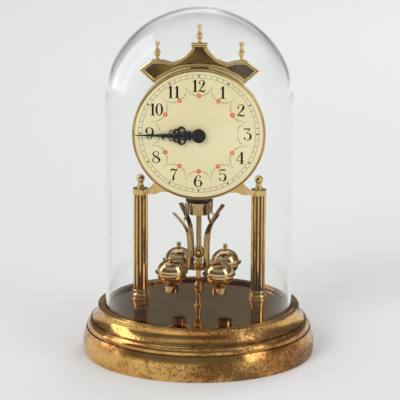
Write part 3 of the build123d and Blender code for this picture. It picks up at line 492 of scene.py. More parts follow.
def bright_steel(name, colour, roughness):
    """Zinc-plated or plain bright steel with drawn marks along it."""
    material, shader, place = new_material(name)
    drawn = noise(place, 1800.0, 3.0, 0.6, (1.0, 1.0, 0.08))
    darker = tuple(0.8 * c for c in colour[:3]) + (1.0,)
    link(shader, "Base Color", drawn.step(0.3, 0.7).blend(colour, darker))
    link(shader, "Roughness", roughness + 0.15 * drawn)
    shader.inputs["Metallic"].default_value = 1.0
    return material


def make_materials():
    """One material per slot of the record."""
    return {
        "polished_brass": brass("lacquered_brass", rgb(230, 200, 134), rgb(200, 162, 94),
                                rgb(96, 68, 34), 0.06),
        "clear_glass": clear_glass(),
        "black_board": moulded_plastic("black_board", rgb(24, 23, 22), rgb(34, 33, 31), 0.7),
        "felt": pressed_felt(),
        "steel": bright_steel("zinc_steel", rgb(190, 190, 192), 0.25),
        "cream_enamel": dial_enamel(),
        "black_plastic": moulded_plastic("black_moulding", rgb(17, 16, 15), rgb(26, 25, 24), 0.38),
        "motor": bright_steel("copper_winding", rgb(186, 104, 60), 0.3),
        "board": moulded_plastic("green_board", rgb(20, 66, 34), rgb(28, 80, 44), 0.45),
        "spring_metal": bright_steel("nickel_strip", rgb(205, 203, 196), 0.2),
        "black_paint": black_paint(),
        "gear_plastic": moulded_plastic("pale_gear_moulding", rgb(222, 216, 200), rgb(208, 202, 186), 0.4),
        "cell": bright_steel("cell_wrapper", rgb(70, 72, 76), 0.35),
    }


def mesh_piece(name, points, faces, material):
    """A new mesh piece from points in millimetres and faces as index rows."""
    mesh = bpy.data.meshes.new(name)
    flat = np.asarray(points, float) * MM
    mesh.from_pydata(flat.tolist(), [], [tuple(int(i) for i in face) for face in faces])
    mesh.materials.append(material)
    piece = bpy.data.objects.new(name, mesh)
    bpy.context.scene.collection.objects.link(piece)
    return piece


def grid_faces(rows, columns, close_rows=False, close_columns=False):
    """Quads of a grid of points, wound one way, with either direction closed on request."""
    i = np.arange(rows if close_rows else rows - 1)
    j = np.arange(columns if close_columns else columns - 1)
    i, j = np.meshgrid(i, j, indexing="ij")
    i2 = (i + 1) % rows
    j2 = (j + 1) % columns
    quads = np.stack([i * columns + j, i2 * columns + j, i2 * columns + j2, i * columns + j2], -1)
    return quads.reshape(-1, 4)


def smooth_path(points, steps=8):
    """A curve through points, by the Catmull-Rom formula, with steps per span."""
    p = np.asarray(points, float)
    p = np.vstack([2 * p[0] - p[1], p, 2 * p[-1] - p[-2]])
    t = np.linspace(0, 1, steps, endpoint=False)[:, None]
    spans = [0.5 * (2 * b + (c - a) * t + (2 * a - 5 * b + 4 * c - d) * t**2
                    + (3 * b - a - 3 * c + d) * t**3)
             for a, b, c, d in zip(p, p[1:], p[2:], p[3:])]
    return np.vstack(spans + [p[-2:-1]])


def ribbon(path, widths):
    """A stroke's outline: for each point of the path, one point half a width to each side of it."""
    path = np.asarray(path, float)
    along = np.gradient(path, axis=0)
    along /= np.maximum(np.linalg.norm(along, axis=1, keepdims=True), 1e-9)
    across = np.stack([-along[:, 1], along[:, 0]], 1) * (np.asarray(widths, float) / 2)[:, None]
    return path + across, path - across


def raised(outline_left, outline_right, top):
    """A stroke as a thin slab on the dial: its section is a rectangle from just inside the enamel to top."""
    def at(xz, height):
        """The outline's points at a height in front of the enamel."""
        return np.stack([xz[:, 0], np.full(len(xz), DIAL_FRONT - height), xz[:, 1] + DIAL_Z + PRINT_RISE], 1)
    section = [at(outline_left, -PRINT_SINK), at(outline_left, top),
               at(outline_right, top), at(outline_right, -PRINT_SINK)]
    points = np.stack(section, 1).reshape(-1, 3)
    rows = len(outline_left)
    faces = [tuple(f) for f in grid_faces(rows, 4, False, True)]
    faces.append((0, 1, 2, 3))
    last = 4 * (rows - 1)
    faces.append((last + 3, last + 2, last + 1, last))
    return points, faces


def disc(centre, radius, top, sides=20):
    """A round dot on the dial as a thin slab: a circle round centre, from just inside the enamel to top."""
    a = np.linspace(0, 2 * math.pi, sides, endpoint=False)
    x = centre[0] + radius * np.cos(a)
    z = centre[1] + radius * np.sin(a) + DIAL_Z + PRINT_RISE
    low = np.stack([x, np.full(sides, DIAL_FRONT + PRINT_SINK), z], 1)
    high = np.stack([x, np.full(sides, DIAL_FRONT - top), z], 1)
    points = np.vstack([low, high])
    faces = [tuple(f) for f in grid_faces(2, sides, False, True)]
    faces.append(tuple(range(sides)))
    faces.append(tuple(range(2 * sides - 1, sides - 1, -1)))
    return points, faces


def outward(piece):
    """Closes poles and turns every face outwards."""
    mesh = bmesh.new()
    mesh.from_mesh(piece.data)
    bmesh.ops.remove_doubles(mesh, verts=mesh.verts, dist=0.000001)
    bmesh.ops.recalc_face_normals(mesh, faces=mesh.faces)
    mesh.to_mesh(piece.data)
    mesh.free()
    return piece


def joined(name, parts, material):
    """One piece from many small point and face lists."""
    points = []
    faces = []
    for part_points, part_faces in parts:
        base = sum(len(p) for p in points)
        points.append(part_points)
        faces.extend(tuple(int(i) + base for i in face) for face in part_faces)
    return outward(mesh_piece(name, np.vstack(points), faces, material))


# Numerals: the strokes of each digit in a box of height 1. A line has a path and the widths at its points,
# a dot a centre and a radius, and a loop a centre and two radii.
THICK = 0.175
THIN = 0.048
DIGITS = {
    "0": [("loop", (0.30, 0.5), (0.225, 0.48))],
    "1": [("line", [(0.30, 0.0), (0.30, 0.99)], [THICK, THICK]),
          ("line", [(0.10, 0.015), (0.50, 0.015)], [THIN, THIN]),
          ("line", [(0.10, 0.80), (0.18, 0.84), (0.29, 0.96)], [THIN, THIN, 0.08])],
    "2": [("line", [(0.10, 0.70), (0.12, 0.88), (0.30, 0.98), (0.47, 0.86), (0.47, 0.66), (0.30, 0.38),
                    (0.07, 0.06)], [THIN, THIN, THIN, 0.11, THICK, 0.09, THIN]),
          ("line", [(0.05, 0.05), (0.20, 0.10), (0.36, 0.05), (0.50, 0.05), (0.55, 0.22)],
           [0.05, 0.12, 0.13, 0.09, THIN]),
          ("dot", (0.14, 0.72), 0.075)],
    "3": [("line", [(0.10, 0.94), (0.51, 0.94)], [0.10, 0.10]),
          ("line", [(0.11, 0.82), (0.10, 0.97)], [THIN, THIN]),
          ("line", [(0.51, 0.94), (0.26, 0.58)], [THIN, THIN]),
          ("line", [(0.25, 0.57), (0.40, 0.58), (0.52, 0.45), (0.53, 0.20), (0.42, 0.05), (0.28, 0.02),
                    (0.15, 0.06), (0.09, 0.18)], [THIN, 0.06, 0.14, THICK, 0.08, THIN, THIN, THIN]),
          ("dot", (0.13, 0.18), 0.07)],
    "4": [("line", [(0.40, 0.0), (0.40, 0.98)], [THICK, THICK]),
          ("line", [(0.38, 0.97), (0.22, 0.66), (0.02, 0.27)], [THIN, THIN, THIN]),
          ("line", [(0.02, 0.26), (0.58, 0.26)], [THIN, THIN]),
          ("line", [(0.24, 0.015), (0.56, 0.015)], [THIN, THIN])],
    "5": [("line", [(0.13, 0.93), (0.30, 0.93), (0.44, 0.92), (0.50, 0.99)], [0.10, 0.12, 0.11, THIN]),
          ("line", [(0.13, 0.96), (0.12, 0.50)], [THIN, THIN]),
          ("line", [(0.12, 0.50), (0.26, 0.60), (0.42, 0.57), (0.51, 0.38), (0.49, 0.15), (0.36, 0.03),
                    (0.22, 0.02), (0.11, 0.08), (0.08, 0.20)],
           [THIN, THIN, 0.08, 0.14, THICK, 0.07, THIN, THIN, THIN]),
          ("dot", (0.13, 0.19), 0.07)],
    "6": [("line", [(0.47, 0.84), (0.44, 0.94), (0.33, 0.98), (0.18, 0.85), (0.09, 0.55), (0.10, 0.20),
                    (0.28, 0.02)], [THIN, THIN, THIN, 0.09, THICK, 0.14, THIN]),
          ("line", [(0.28, 0.02), (0.45, 0.08), (0.52, 0.30), (0.45, 0.52), (0.30, 0.58), (0.15, 0.50),
                    (0.10, 0.40)], [THIN, 0.08, THICK, 0.08, THIN, THIN, THIN]),
          ("dot", (0.44, 0.83), 0.07)],
    "7": [("line", [(0.08, 0.76), (0.11, 0.90), (0.24, 0.93), (0.40, 0.88), (0.54, 0.96)],
           [THIN, 0.09, 0.13, 0.12, THIN]),
          ("line", [(0.54, 0.96), (0.38, 0.62), (0.28, 0.34), (0.26, 0.02)], [THIN, 0.07, 0.13, 0.17])],
    "8": [("line", [(0.30, 0.53), (0.14, 0.66), (0.13, 0.86), (0.30, 0.98), (0.46, 0.87), (0.45, 0.68),
                    (0.30, 0.53)], [0.10, 0.13, 0.09, THIN, 0.07, 0.06, THIN]),
          ("line", [(0.30, 0.53), (0.12, 0.40), (0.08, 0.18), (0.30, 0.02), (0.51, 0.16), (0.50, 0.36),
                    (0.30, 0.53)], [THIN, 0.06, 0.09, THIN, 0.11, THICK, 0.10])],
    "9": [("line", [(0.13, 0.16), (0.16, 0.06), (0.27, 0.02), (0.42, 0.15), (0.51, 0.45), (0.50, 0.80),
                    (0.32, 0.98)], [THIN, THIN, THIN, 0.09, THICK, 0.14, THIN]),
          ("line", [(0.32, 0.98), (0.15, 0.92), (0.08, 0.70), (0.15, 0.48), (0.30, 0.42), (0.45, 0.50),
                    (0.50, 0.60)], [THIN, 0.08, THICK, 0.08, THIN, THIN, THIN]),
          ("dot", (0.16, 0.17), 0.07)],
}
# Numeral spacing: the width of a lone digit and the step of a pair in heights, how much wider a lone digit
# is drawn, and how far left each kind is shifted, in millimetres
DIGIT_WIDTH = 0.60
PAIR_STEP = 0.52
SINGLE_STRETCH = 1.18
SINGLE_SHIFT = 0.3
PAIR_SHIFT = 0.7


def oval_stroke(centre, radii):
    """An upright oval whose width goes from thin to thick with the squared cosine of its angle."""
    a = np.linspace(0, 2 * math.pi, 33)
    path = np.stack([centre[0] + radii[0] * np.cos(a), centre[1] + radii[1] * np.sin(a)], 1)
    return path, THIN + (THICK - THIN) * np.cos(a) ** 2


def digit_parts(digit, x, z, height, stretch):
    """The raised strokes of one digit whose box starts at x, z, made wider by a stretch."""
    parts = []
    for stroke in DIGITS[digit]:
        kind, first, second = stroke
        if kind == "dot":
            centre = (x + first[0] * height * stretch, z + first[1] * height)
            parts.append(disc(centre, second * height, PRINT_HEIGHT))
            continue
        if kind == "loop":
            path, widths = oval_stroke(first, second)
        elif len(first) == 2:
            path, widths = np.array(first, float), np.array(second, float)
        else:
            both = smooth_path(np.column_stack([first, second]), 6)
            path, widths = both[:, :2], both[:, 2]
        left, right = ribbon(path * (height * stretch, height) + (x, z), widths * height)
        parts.append(raised(left, right, PRINT_HEIGHT))
    return parts


def numerals(material):
    """The twelve hour numerals, upright, their middles on one circle."""
    parts = []
    for hour in range(1, 13):
        text = str(hour)
        angle = math.radians(90 - 30 * hour)
        pair = len(text) == 2
        stretch = 1.0 if pair else SINGLE_STRETCH
        advance = PAIR_STEP if pair else DIGIT_WIDTH * SINGLE_STRETCH
        width = advance * len(text) * NUMERAL_HEIGHT
        x = NUMERAL_RADIUS * math.cos(angle) - width / 2 - (PAIR_SHIFT if pair else SINGLE_SHIFT)
        z = NUMERAL_RADIUS * math.sin(angle) - NUMERAL_HEIGHT / 2
        for index, digit in enumerate(text):
            parts += digit_parts(digit, x + index * advance * NUMERAL_HEIGHT, z, NUMERAL_HEIGHT, stretch)
    return joined("hour_numerals", parts, material)


def minute_track(material):
    """Two fine circles, a tick for each minute between them and a small lozenge every fifth."""
    parts = []
    a = np.linspace(0, 2 * math.pi, 181)
    circle = np.stack([np.cos(a), np.sin(a)], 1)
    for radius in (TRACK_OUTER, TRACK_INNER):
        left, right = ribbon(circle * radius, np.full(len(a), TRACK_LINE))
        parts.append(raised(left, right, PRINT_HEIGHT))
    middle = (TRACK_OUTER + TRACK_INNER) / 2
    for minute in range(60):
        turn = math.radians(6 * minute)
        out = np.array([math.sin(turn), math.cos(turn)])
        if minute % 5:
            path = np.array([out * (middle - TICK_HALF), out * (middle + TICK_HALF)])
            widths = [TICK_WIDTH, TICK_WIDTH]
        else:
            path = np.array([out * (middle - LOZENGE_HALF), out * middle, out * (middle + LOZENGE_HALF)])
            widths = [POINT_WIDTH, LOZENGE_WIDTH, POINT_WIDTH]
        left, right = ribbon(path, widths)
        parts.append(raised(left, right, PRINT_HEIGHT))
    return joined("minute_track", parts, material)


def turned_about_dial(points, hour):
    """Points drawn round twelve o'clock, turned about the dial's centre by 30 degrees an hour."""
    a = math.radians(-30 * hour)
    p = np.asarray(points, float)
    return np.stack([p[:, 0] * math.cos(a) - p[:, 1] * math.sin(a),
                     p[:, 0] * math.sin(a) + p[:, 1] * math.cos(a)], 1)


def swag_line(side):
    """Half a garland at twelve: a smooth line from the flower out to the cusp 15 degrees beside it."""
    half_step = math.radians(15.0)
    cusp = (math.sin(half_step) * CUSP_RADIUS, math.cos(half_step) * CUSP_RADIUS)
    points = [(aside, FLOWER_RADIUS + height) for aside, height in STEM_LINE] + [cusp]
    return smooth_path(np.array(points) * (side, 1.0), 6)


def garland(stem_material, leaf_material, petal_material, heart_material):
    """Leafy stems that hang between cusps, with a rose at each hour but three and nine. A leaf is a short
    ribbon that leans off the stem, and a rose a ring of discs round a heart."""
    stems = []
    leaves = []
    petals = []
    hearts = []
    for hour in range(12):
        for side in (-1, 1):
            line = turned_about_dial(swag_line(side), hour)
            left, right = ribbon(line, np.linspace(*STEM_WIDTHS, len(line)))
            stems.append(raised(left, right, PRINT_HEIGHT))
            along = np.gradient(line, axis=0)
            along /= np.linalg.norm(along, axis=1, keepdims=True)
            for k, lean in LEAF_PLACES:
                square = np.array([-along[k][1], along[k][0]])
                aim = along[k] * LEAF_AIM[0] + lean * side * square * LEAF_AIM[1]
                leaf = line[k] + np.linspace(*LEAF_SPAN, len(LEAF_WIDTHS))[:, None] * aim
                left, right = ribbon(leaf, LEAF_WIDTHS)
                leaves.append(raised(left, right, PRINT_HEIGHT + LEAF_RISE))
        if hour in BARE_HOURS:
            continue
        centre = turned_about_dial([(0.0, FLOWER_RADIUS)], hour)[0]
        for k in range(PETALS):
            a = 2 * math.pi * k / PETALS + PETAL_TURN * hour
            petal = centre + PETAL_RING * np.array([math.cos(a), math.sin(a)])
            petals.append(disc(petal, PETAL_RADIUS, PRINT_HEIGHT + PETAL_RISE, 12))
        hearts.append(disc(centre, HEART_RADIUS, PRINT_HEIGHT + HEART_RISE, 12))
    return [joined("garland_stems", stems, stem_material),
            joined("garland_leaves", leaves, leaf_material),
            joined("garland_petals", petals, petal_material),
            joined("garland_hearts", hearts, heart_material)]


def print_dial():
    """Everything that is printed on the enamel."""
    black = ink("black_ink", rgb(10, 8, 6), rgb(20, 17, 13))
    grey = ink("track_ink", rgb(62, 58, 44), rgb(84, 78, 58))
    stem = ink("stem_ink", rgb(104, 98, 60), rgb(124, 118, 76))
    leaf = ink("leaf_ink", rgb(128, 138, 86), rgb(150, 154, 100))
    coral = ink("coral_ink", rgb(212, 84, 66), rgb(228, 112, 88))
    heart = ink("rose_heart_ink", rgb(238, 168, 136), rgb(244, 190, 156))
    pieces = [numerals(black), minute_track(grey)]
    pieces += garland(stem, leaf, coral, heart)
    for piece in pieces:
        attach(piece, "stand")


def rounded(piece, angle=32.0):
    """Smooth shading that stays crisp at edges sharper than an angle."""
    piece.data.shade_smooth()
    piece.data.set_sharp_from_angle(angle=math.radians(angle))
    return piece


def arc(radius, level, ball, start, end, steps=14):
    """Profile points on a circle round (radius, level), from one angle in degrees to another."""
    a = np.radians(np.linspace(start, end, steps))
    return [(radius + ball * c, level + ball * s) for c, s in zip(np.cos(a), np.sin(a))]


def lifted(profile, level):
    """A profile of (radius, height) with a level added to each height."""
    return [(radius, level + height) for radius, height in profile]


def turned(profile, centre, closed=False, sides=56):
    """A turned form: its profile of radius and level is carried round an upright axis at centre."""
    profile = np.asarray(profile, float)
    a = np.linspace(0, 2 * math.pi, sides, endpoint=False)
    x = centre[0] + profile[:, :1] * np.cos(a)
    y = centre[1] + profile[:, :1] * np.sin(a)
    z = np.repeat(profile[:, 1:], sides, axis=1)
    points = np.stack([x, y, z], -1).reshape(-1, 3)
    return points, grid_faces(len(profile), sides, closed, True)


def carried(line, across, section, closed=False):
    """A section carried along a line: its first measure lies along across, its second square to both."""
    line = np.asarray(line, float)
    if closed:
        along = np.roll(line, -1, axis=0) - np.roll(line, 1, axis=0)
    else:
        along = np.gradient(line, axis=0)
    along /= np.linalg.norm(along, axis=1, keepdims=True)
    out = np.cross(along, across)
    out /= np.linalg.norm(out, axis=1, keepdims=True)
    section = np.asarray(section, float)
    sideways = section[None, :, :1] * np.asarray(across, float)
    points = line[:, None] + sideways + section[None, :, 1:] * out[:, None]
    faces = [tuple(f) for f in grid_faces(len(line), len(section), closed, True)]
    if not closed:
        count = len(section)
        faces.append(tuple(range(count)))
        faces.append(tuple(range(count * len(line) - 1, count * (len(line) - 1) - 1, -1)))
    return points.reshape(-1, 3), faces


def slab(loops, origin, along, depth_from, depth_to):
    """A flat plate made thick: loops of (distance along, level), first its outline, then its holes."""
    along = np.array([along[0], along[1], 0.0])
    normal = np.array([along[1], -along[0], 0.0])
    flat = np.vstack([np.asarray(loop, float) for loop in loops])
    middle = np.asarray(origin, float) + flat[:, :1] * along + flat[:, 1:] * (0.0, 0.0, 1.0)
    points = np.vstack([middle + normal * depth_from, middle + normal * depth_to])
    count = len(flat)
    triangles = tessellate_polygon([[Vector((u, z, 0.0)) for u, z in loop] for loop in loops])
    faces = [tuple(t) for t in triangles] + [tuple(i + count for i in t) for t in triangles]
    start = 0
    for loop in loops:
        here = np.arange(len(loop))
        after = (here + 1) % len(loop)
        walls = np.stack([here + start, after + start, after + start + count, here + start + count], 1)
        faces += [tuple(f) for f in walls]
        start += len(loop)
    return points, faces


def column_tops(material):
    """Profiles turned about each column: a drum, then two rings, a neck and a ball with a small point."""
    for side in ("left", "right"):
        low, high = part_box("column_tube_" + side)
        centre = ((low.x + high.x) / 2 / MM, (low.y + high.y) / 2 / MM)
        shaft_top = high.z / MM
        drum = [(ROD_HOLE, shaft_top), (DRUM_RADIUS - DRUM_STEP, shaft_top),
                (DRUM_RADIUS - DRUM_STEP, shaft_top + DRUM_STEP), (DRUM_RADIUS, shaft_top + 2 * DRUM_STEP),
                (DRUM_RADIUS, EYE_LEVELS[0]), (ROD_HOLE, EYE_LEVELS[0])]
        piece = rounded(joined("capital_" + side, [turned(drum, centre, True)], material))
        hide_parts("column_capital_" + side)
        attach(piece, "stand")
        ball = arc(0.0, BALL_LEVEL, BALL_RADIUS, *BALL_ARC, 18)
        finial = lifted(BALL_FOOT + ball + BALL_POINT, EYE_LEVELS[1])
        piece = rounded(joined("top_ball_" + side, [turned(finial, centre)], material))
        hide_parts("column_finial_" + side)
        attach(piece, "stand")


def crown_finials(material):
    """Three slim turned finials on the crown: foot, neck, ball, stem with a ring and a flared head."""
    for place in ("left", "middle", "right"):
        low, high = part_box("finial_" + place)
        centre = ((low.x + high.x) / 2 / MM, (low.y + high.y) / 2 / MM)
        bulb = arc(0.0, BULB_LEVEL, BULB_RADIUS, *BULB_ARC, 14)
        profile = lifted(FINIAL_FOOT + bulb + FINIAL_HEAD, low.z / MM)
        piece = rounded(joined("crown_finial_" + place, [turned(profile, centre, sides=40)], material))
        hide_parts("finial_" + place)
        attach(piece, "stand")


def bracket_wing(side):
    """One slanted wing: a plate with a raised edge round a sunk field, a thin neck and the column's eye."""
    low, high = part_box("column_tube_right")
    column = ((low.x + high.x) / 2 / MM, (low.y + high.y) / 2 / MM)
    fold = np.array([PLATE_HALF[2][0], PLATE_BACK - PLATE_THICKNESS / 2])
    run = math.hypot(column[0] - fold[0], column[1] - fold[1])
    along = ((column[0] - fold[0]) / run, (column[1] - fold[1]) / run)
    toe = run - DRUM_RADIUS - WING_NECK
    reach = run - DRUM_RADIUS * (1 - WING_OVERLAP)
    root_low, root_high = WING_ROOT
    eye_low, eye_high = EYE_LEVELS
    outline = [(0.0, root_low), (0.0, root_high), (toe, eye_high),
               (reach, eye_high), (reach, eye_low), (toe, eye_low)]
    end = toe - WING_TOE
    fall = (root_high - eye_high) / toe
    lift = (root_low - eye_low) / toe
    field = [(WING_EDGE, root_low - lift * WING_EDGE + WING_EDGE),
             (WING_EDGE, root_high - fall * WING_EDGE - WING_EDGE),
             (end, root_high - fall * end - WING_EDGE),
             (end, root_low - lift * end + WING_EDGE)]
    half = PLATE_THICKNESS / 2
    bend = [(0.0, root_low), (half, root_low), (half, root_high), (0.0, root_high)]
    eye = [(ROD_HOLE, eye_low), (DRUM_RADIUS, eye_low), (DRUM_RADIUS, eye_high), (ROD_HOLE, eye_high)]
    origin = (fold[0], fold[1], 0.0)
    parts = [slab([outline, field], origin, along, half - WING_SINK, half),
             slab([outline], origin, along, -half, half - WING_SINK),
             turned(bend, fold, sides=16),
             turned(eye, column, True)]
    return [(points * (side, 1.0, 1.0), faces) for points, faces in parts]


def dial_bracket(material):
    """The flat plate behind the dial with a hole for the neck, and its two wings."""
    outline = PLATE_HALF + [(-x, z) for x, z in reversed(PLATE_HALF)]
    a = np.linspace(0, 2 * math.pi, 40, endpoint=False)
    hole = np.stack([NECK_HOLE * np.cos(a), DIAL_Z + NECK_HOLE * np.sin(a)], 1)
    parts = [slab([outline, hole.tolist()], (0.0, PLATE_BACK, 0.0), (1.0, 0.0), 0.0, PLATE_THICKNESS)]
    parts += bracket_wing(1) + bracket_wing(-1)
    piece = rounded(joined("dial_bracket", parts, material))
    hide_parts("support_bracket")
    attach(piece, "stand")


def pendulum_straps(material):
    """Four ribbons with raised edges that flare out at the top, each with a thin finger beside the drum:
    sections carried along smooth lines, turned about the pendulum's axis."""
    half = STRAP_WIDTH / 2
    skin = STRAP_THICKNESS / 2
    rim = half - STRAP_RIM
    sunk = half - STRAP_RIM - STRAP_SLOPE
    bed = skin - STRAP_SINK
    channel = [(-half, skin), (-rim, skin), (-sunk, bed), (sunk, bed), (rim, skin), (half, skin),
               (half, -skin), (rim, -skin), (sunk, -bed), (-sunk, -bed), (-rim, -skin), (-half, -skin)]
    thin = FINGER_THICKNESS / 2
    slim = FINGER_WIDTH / 2
    flat = [(-slim, thin), (slim, thin), (slim, -thin), (-slim, -thin)]
    for name, turn in STRAP_TURNS.items():
        a = math.radians(turn)
        out = np.array([math.cos(a), math.sin(a), 0.0])
        across = np.array([-math.sin(a), math.cos(a), 0.0])
        parts = []
        for line, section in ((STRAP_LINE, channel), (FINGER_LINE, flat)):
            curve = smooth_path(line, 7)
            path = curve[:, :1] * out + curve[:, 1:] * (0.0, 0.0, 1.0)
            parts.append(carried(path, across, section))
        piece = rounded(joined("ribbon_" + name, parts, material))
        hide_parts("strap_" + name)
        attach(piece, "pendulum")


def three_point_arc(start, middle, end, steps):
    """Points on the circle whose centre is equally far from three points, from the first to the last."""
    (ax, ay), (bx, by), (cx, cy) = start, middle, end
    d = 2 * (ax * (by - cy) + bx * (cy - ay) + cx * (ay - by))
    a2, b2, c2 = ax * ax + ay * ay, bx * bx + by * by, cx * cx + cy * cy
    ux = (a2 * (by - cy) + b2 * (cy - ay) + c2 * (ay - by)) / d
    uy = (a2 * (cx - bx) + b2 * (ax - cx) + c2 * (bx - ax)) / d
    radius = math.hypot(ax - ux, ay - uy)
    first = math.atan2(ay - uy, ax - ux)
    last = math.atan2(cy - uy, cx - ux)
    if last - first > math.pi:
        last -= 2 * math.pi
    if first - last > math.pi:
        last += 2 * math.pi
    t = np.linspace(first, last, steps)
    return np.stack([ux + radius * np.cos(t), uy + radius * np.sin(t)], 1)


def crown_line(inset):
    """The crown's outline moved inwards by an inset: a corner moves by the sum of its edges' normals over
    one plus their product, times the inset."""
    foot = (CROWN_ARCH * math.cos(CROWN_FOOT), CROWN_ARCH * math.sin(CROWN_FOOT))
    right = np.vstack([[CROWN_CORNER], three_point_arc(*CROWN_SWEEP, 14), CROWN_LOBE, [foot]])
    angles = np.linspace(CROWN_FOOT, math.pi - CROWN_FOOT, 40)[1:-1]
    arch = CROWN_ARCH * np.stack([np.cos(angles), np.sin(angles)], 1)
    left = right[::-1] * (-1.0, 1.0)
    line = np.vstack([right, arch, left])
    after = np.roll(line, -1, axis=0) - line
    after /= np.linalg.norm(after, axis=1, keepdims=True)
    normal = np.stack([after[:, 1], -after[:, 0]], 1)
    before = np.roll(normal, 1, axis=0)
    mitre = (normal + before) / (1 + (normal * before).sum(1, keepdims=True))
    return line + mitre * inset


def crown_beads(material):
    """Two fine bright beads on the crown, a painted highlight along its edge and round its panel: a small
    circle carried along each line.
    """
    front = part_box("pediment")[0].y / MM
    a = np.linspace(0, 2 * math.pi, 8, endpoint=False)
    section = BEAD_RADIUS * np.stack([np.cos(a), np.sin(a)], 1)
    parts = []
    for inset in BEAD_INSETS:
        flat = crown_line(inset)
        line = np.stack([flat[:, 0], np.full(len(flat), front + BEAD_SINK), flat[:, 1] + DIAL_Z], 1)
        parts.append(carried(line, (0.0, 1.0, 0.0), section, True))
    piece = rounded(joined("crown_beads", parts, material), 60.0)
    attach(piece, "stand")


def brass_fittings():
    """The brass pieces made here."""
    bright = brass("fitting_brass", rgb(238, 208, 142), rgb(212, 174, 104), rgb(110, 78, 38), 0.05)
    column_tops(bright)
    crown_finials(bright)
    dial_bracket(bright)
    pendulum_straps(streaked_brass("strap_brass", rgb(196, 160, 104), rgb(128, 96, 56)))
    # Near-white rough brass on the crown's beads, which are a painted highlight along its edges
    crown_beads(brass("highlight_bead_brass", rgb(255, 238, 190), rgb(250, 226, 168), rgb(190, 150, 90), 0.3))


def brass_by_node():
    """The brass pieces that differ from the plain lacquered ones."""
    ball = brass("ball_brass", rgb(216, 188, 142), rgb(194, 160, 110), rgb(112, 82, 50), 0.025)
    drum = streaked_brass("drum_brass", rgb(198, 162, 114), rgb(98, 72, 42))
    inner = streaked_brass("pendulum_brass", rgb(214, 174, 112), rgb(146, 108, 60))
    special = {"base_shell": spun_base_brass(), "deck_plate": deck_mirror(), "pediment": crown_brass(),
               "suspension_drum": drum, "ball_knobs": ball}
    special.update({name: inner for name in ("pendulum_rod", "upper_vase", "pendulum_hub", "pendulum_cross",
                                             "pendulum_tail", "ball_caps", "guide_post")})
    for side in ("left", "right"):
        special["column_tube_" + side] = fluted_brass("fluted_brass_" + side, "column_tube_" + side)
    for name in frame["nodes"]:
        if name.startswith(("ball_upper", "ball_lower")):
            special[name] = ball
    return special


def dress_frame(materials):
    """Every CAD node gets the material of its slot, or its own brass."""
    slots = {part["node"]: part["material_slot"] for part in frame["record"]["subparts"]}
    special = brass_by_node()
    for name, node in frame["nodes"].items():
        node.data.materials.clear()
        node.data.materials.append(special.get(name, materials[slots[name]]))


def pale_floor():
    """A wide pale floor at the level that the clock stands on."""
    material, shader, _ = new_material("pale_floor")
    shader.inputs["Base Color"].default_value = (FLOOR_TONE, FLOOR_TONE, FLOOR_TONE, 1.0)
    shader.inputs["Roughness"].default_value = 0.9
    corners = [(x * FLOOR_HALF, y * FLOOR_HALF, 0.0) for x, y in ((-1, -1), (1, -1), (1, 1), (-1, 1))]
    floor = mesh_piece("floor", corners, [(0, 1, 2, 3)], material)


def window(direction, azimuth, elevation, half_width, half_height, soft):
    """A soft-edged window: 1 where a direction's reach aside and up from its middle is within its halves."""
    a = math.radians(azimuth)
    e = math.radians(elevation)
    middle = Vector((math.sin(a) * math.cos(e), -math.cos(a) * math.cos(e), math.sin(e)))
    across = Vector((math.cos(a), math.sin(a), 0.0))
    up = middle.cross(across)
    beside = direction.dot(across).near(0.0, half_width, soft)
    upward = direction.dot(up).near(0.0, half_height, soft)
    return beside * upward * direction.dot(middle).step(0.0, 0.1)


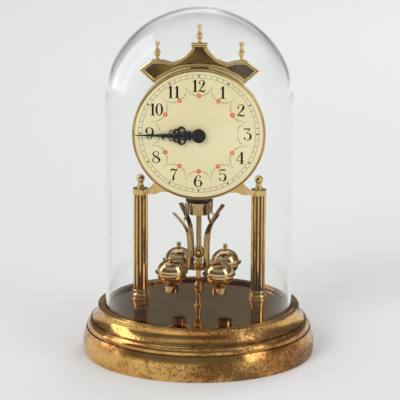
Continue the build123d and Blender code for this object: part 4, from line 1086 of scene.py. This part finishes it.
def studio_world():
    """A pale room for the eye; metal sees it pale near the floor, dim above, with soft windows."""
    world = bpy.data.worlds.new("studio")
    bpy.context.scene.world = world
    world.use_nodes = True
    tree = world.node_tree
    background = tree.nodes["Background"]
    direction = Value(tree, None).node("ShaderNodeTexCoord", None, None, "Generated")
    height = direction.part("Z")
    below = 1.0 - height.step(*PALE_LEVELS)
    walls = DIM_ABOVE + PALE_BELOW * below + RING_LIGHT * height.near(*RING_LEVELS)
    left = window(direction, *LEFT_WINDOW)
    right = window(direction, *RIGHT_WINDOW)
    top = window(direction, *TOP_WINDOW)
    metal = walls + SIDE_WINDOW_LIGHT * left + SIDE_WINDOW_LIGHT * right + TOP_WINDOW_LIGHT * top
    path = direction.node("ShaderNodeLightPath", None, None, "Is Camera Ray")
    glossy = Value(tree, path.socket.node.outputs["Is Glossy Ray"])
    through = path.maths("MAXIMUM", Value(tree, path.socket.node.outputs["Is Transmission Ray"]))
    unseen = DULL_LIGHT + glossy * (metal - DULL_LIGHT)
    strength = unseen + through * (SEEN_LIGHT - unseen)
    background.inputs["Color"].default_value = (1.0, 1.0, 1.0, 1.0)
    tree.links.new(strength.socket, background.inputs["Strength"])


def lamp(name, size, power, place, colour):
    """A soft square lamp turned to the clock's middle; mirrors show the windows instead."""
    data = bpy.data.lights.new(name, "AREA")
    data.shape = "SQUARE"
    data.size = size
    data.energy = power
    data.color = colour
    light = bpy.data.objects.new(name, data)
    light.location = place
    light.rotation_euler = (Vector(CLOCK_MIDDLE) - Vector(place)).to_track_quat("-Z", "Y").to_euler()
    light.visible_glossy = False
    bpy.context.scene.collection.objects.link(light)


def studio_lamps():
    """A key from the upper left, a weaker fill from the right and a back light."""
    lamp("key", *KEY_LAMP)
    lamp("fill", *FILL_LAMP)
    lamp("back", *BACK_LAMP)


def place_camera():
    """The photograph's viewpoint: far off, slightly above and to the right, with a slight roll."""
    data = bpy.data.cameras.new("camera")
    data.sensor_width = SENSOR
    data.lens = FOCAL_PIXELS * SENSOR / IMAGE_PIXELS
    data.clip_end = 50.0
    camera = bpy.data.objects.new("camera", data)
    back = Vector((math.sin(CAMERA_AZIMUTH) * math.cos(CAMERA_ELEVATION),
                   -math.cos(CAMERA_AZIMUTH) * math.cos(CAMERA_ELEVATION),
                   math.sin(CAMERA_ELEVATION)))
    camera.location = CAMERA_TARGET + back * CAMERA_DISTANCE
    camera.rotation_euler = (-back).to_track_quat("-Z", "Y").to_euler()
    camera.rotation_euler.rotate_axis("Z", CAMERA_ROLL)
    bpy.context.scene.collection.objects.link(camera)
    bpy.context.scene.camera = camera


place_camera()
pale_floor()
studio_world()
studio_lamps()
dress_frame(make_materials())
brass_fittings()
print_dial()
bpy.context.scene.view_settings.view_transform = "Standard"
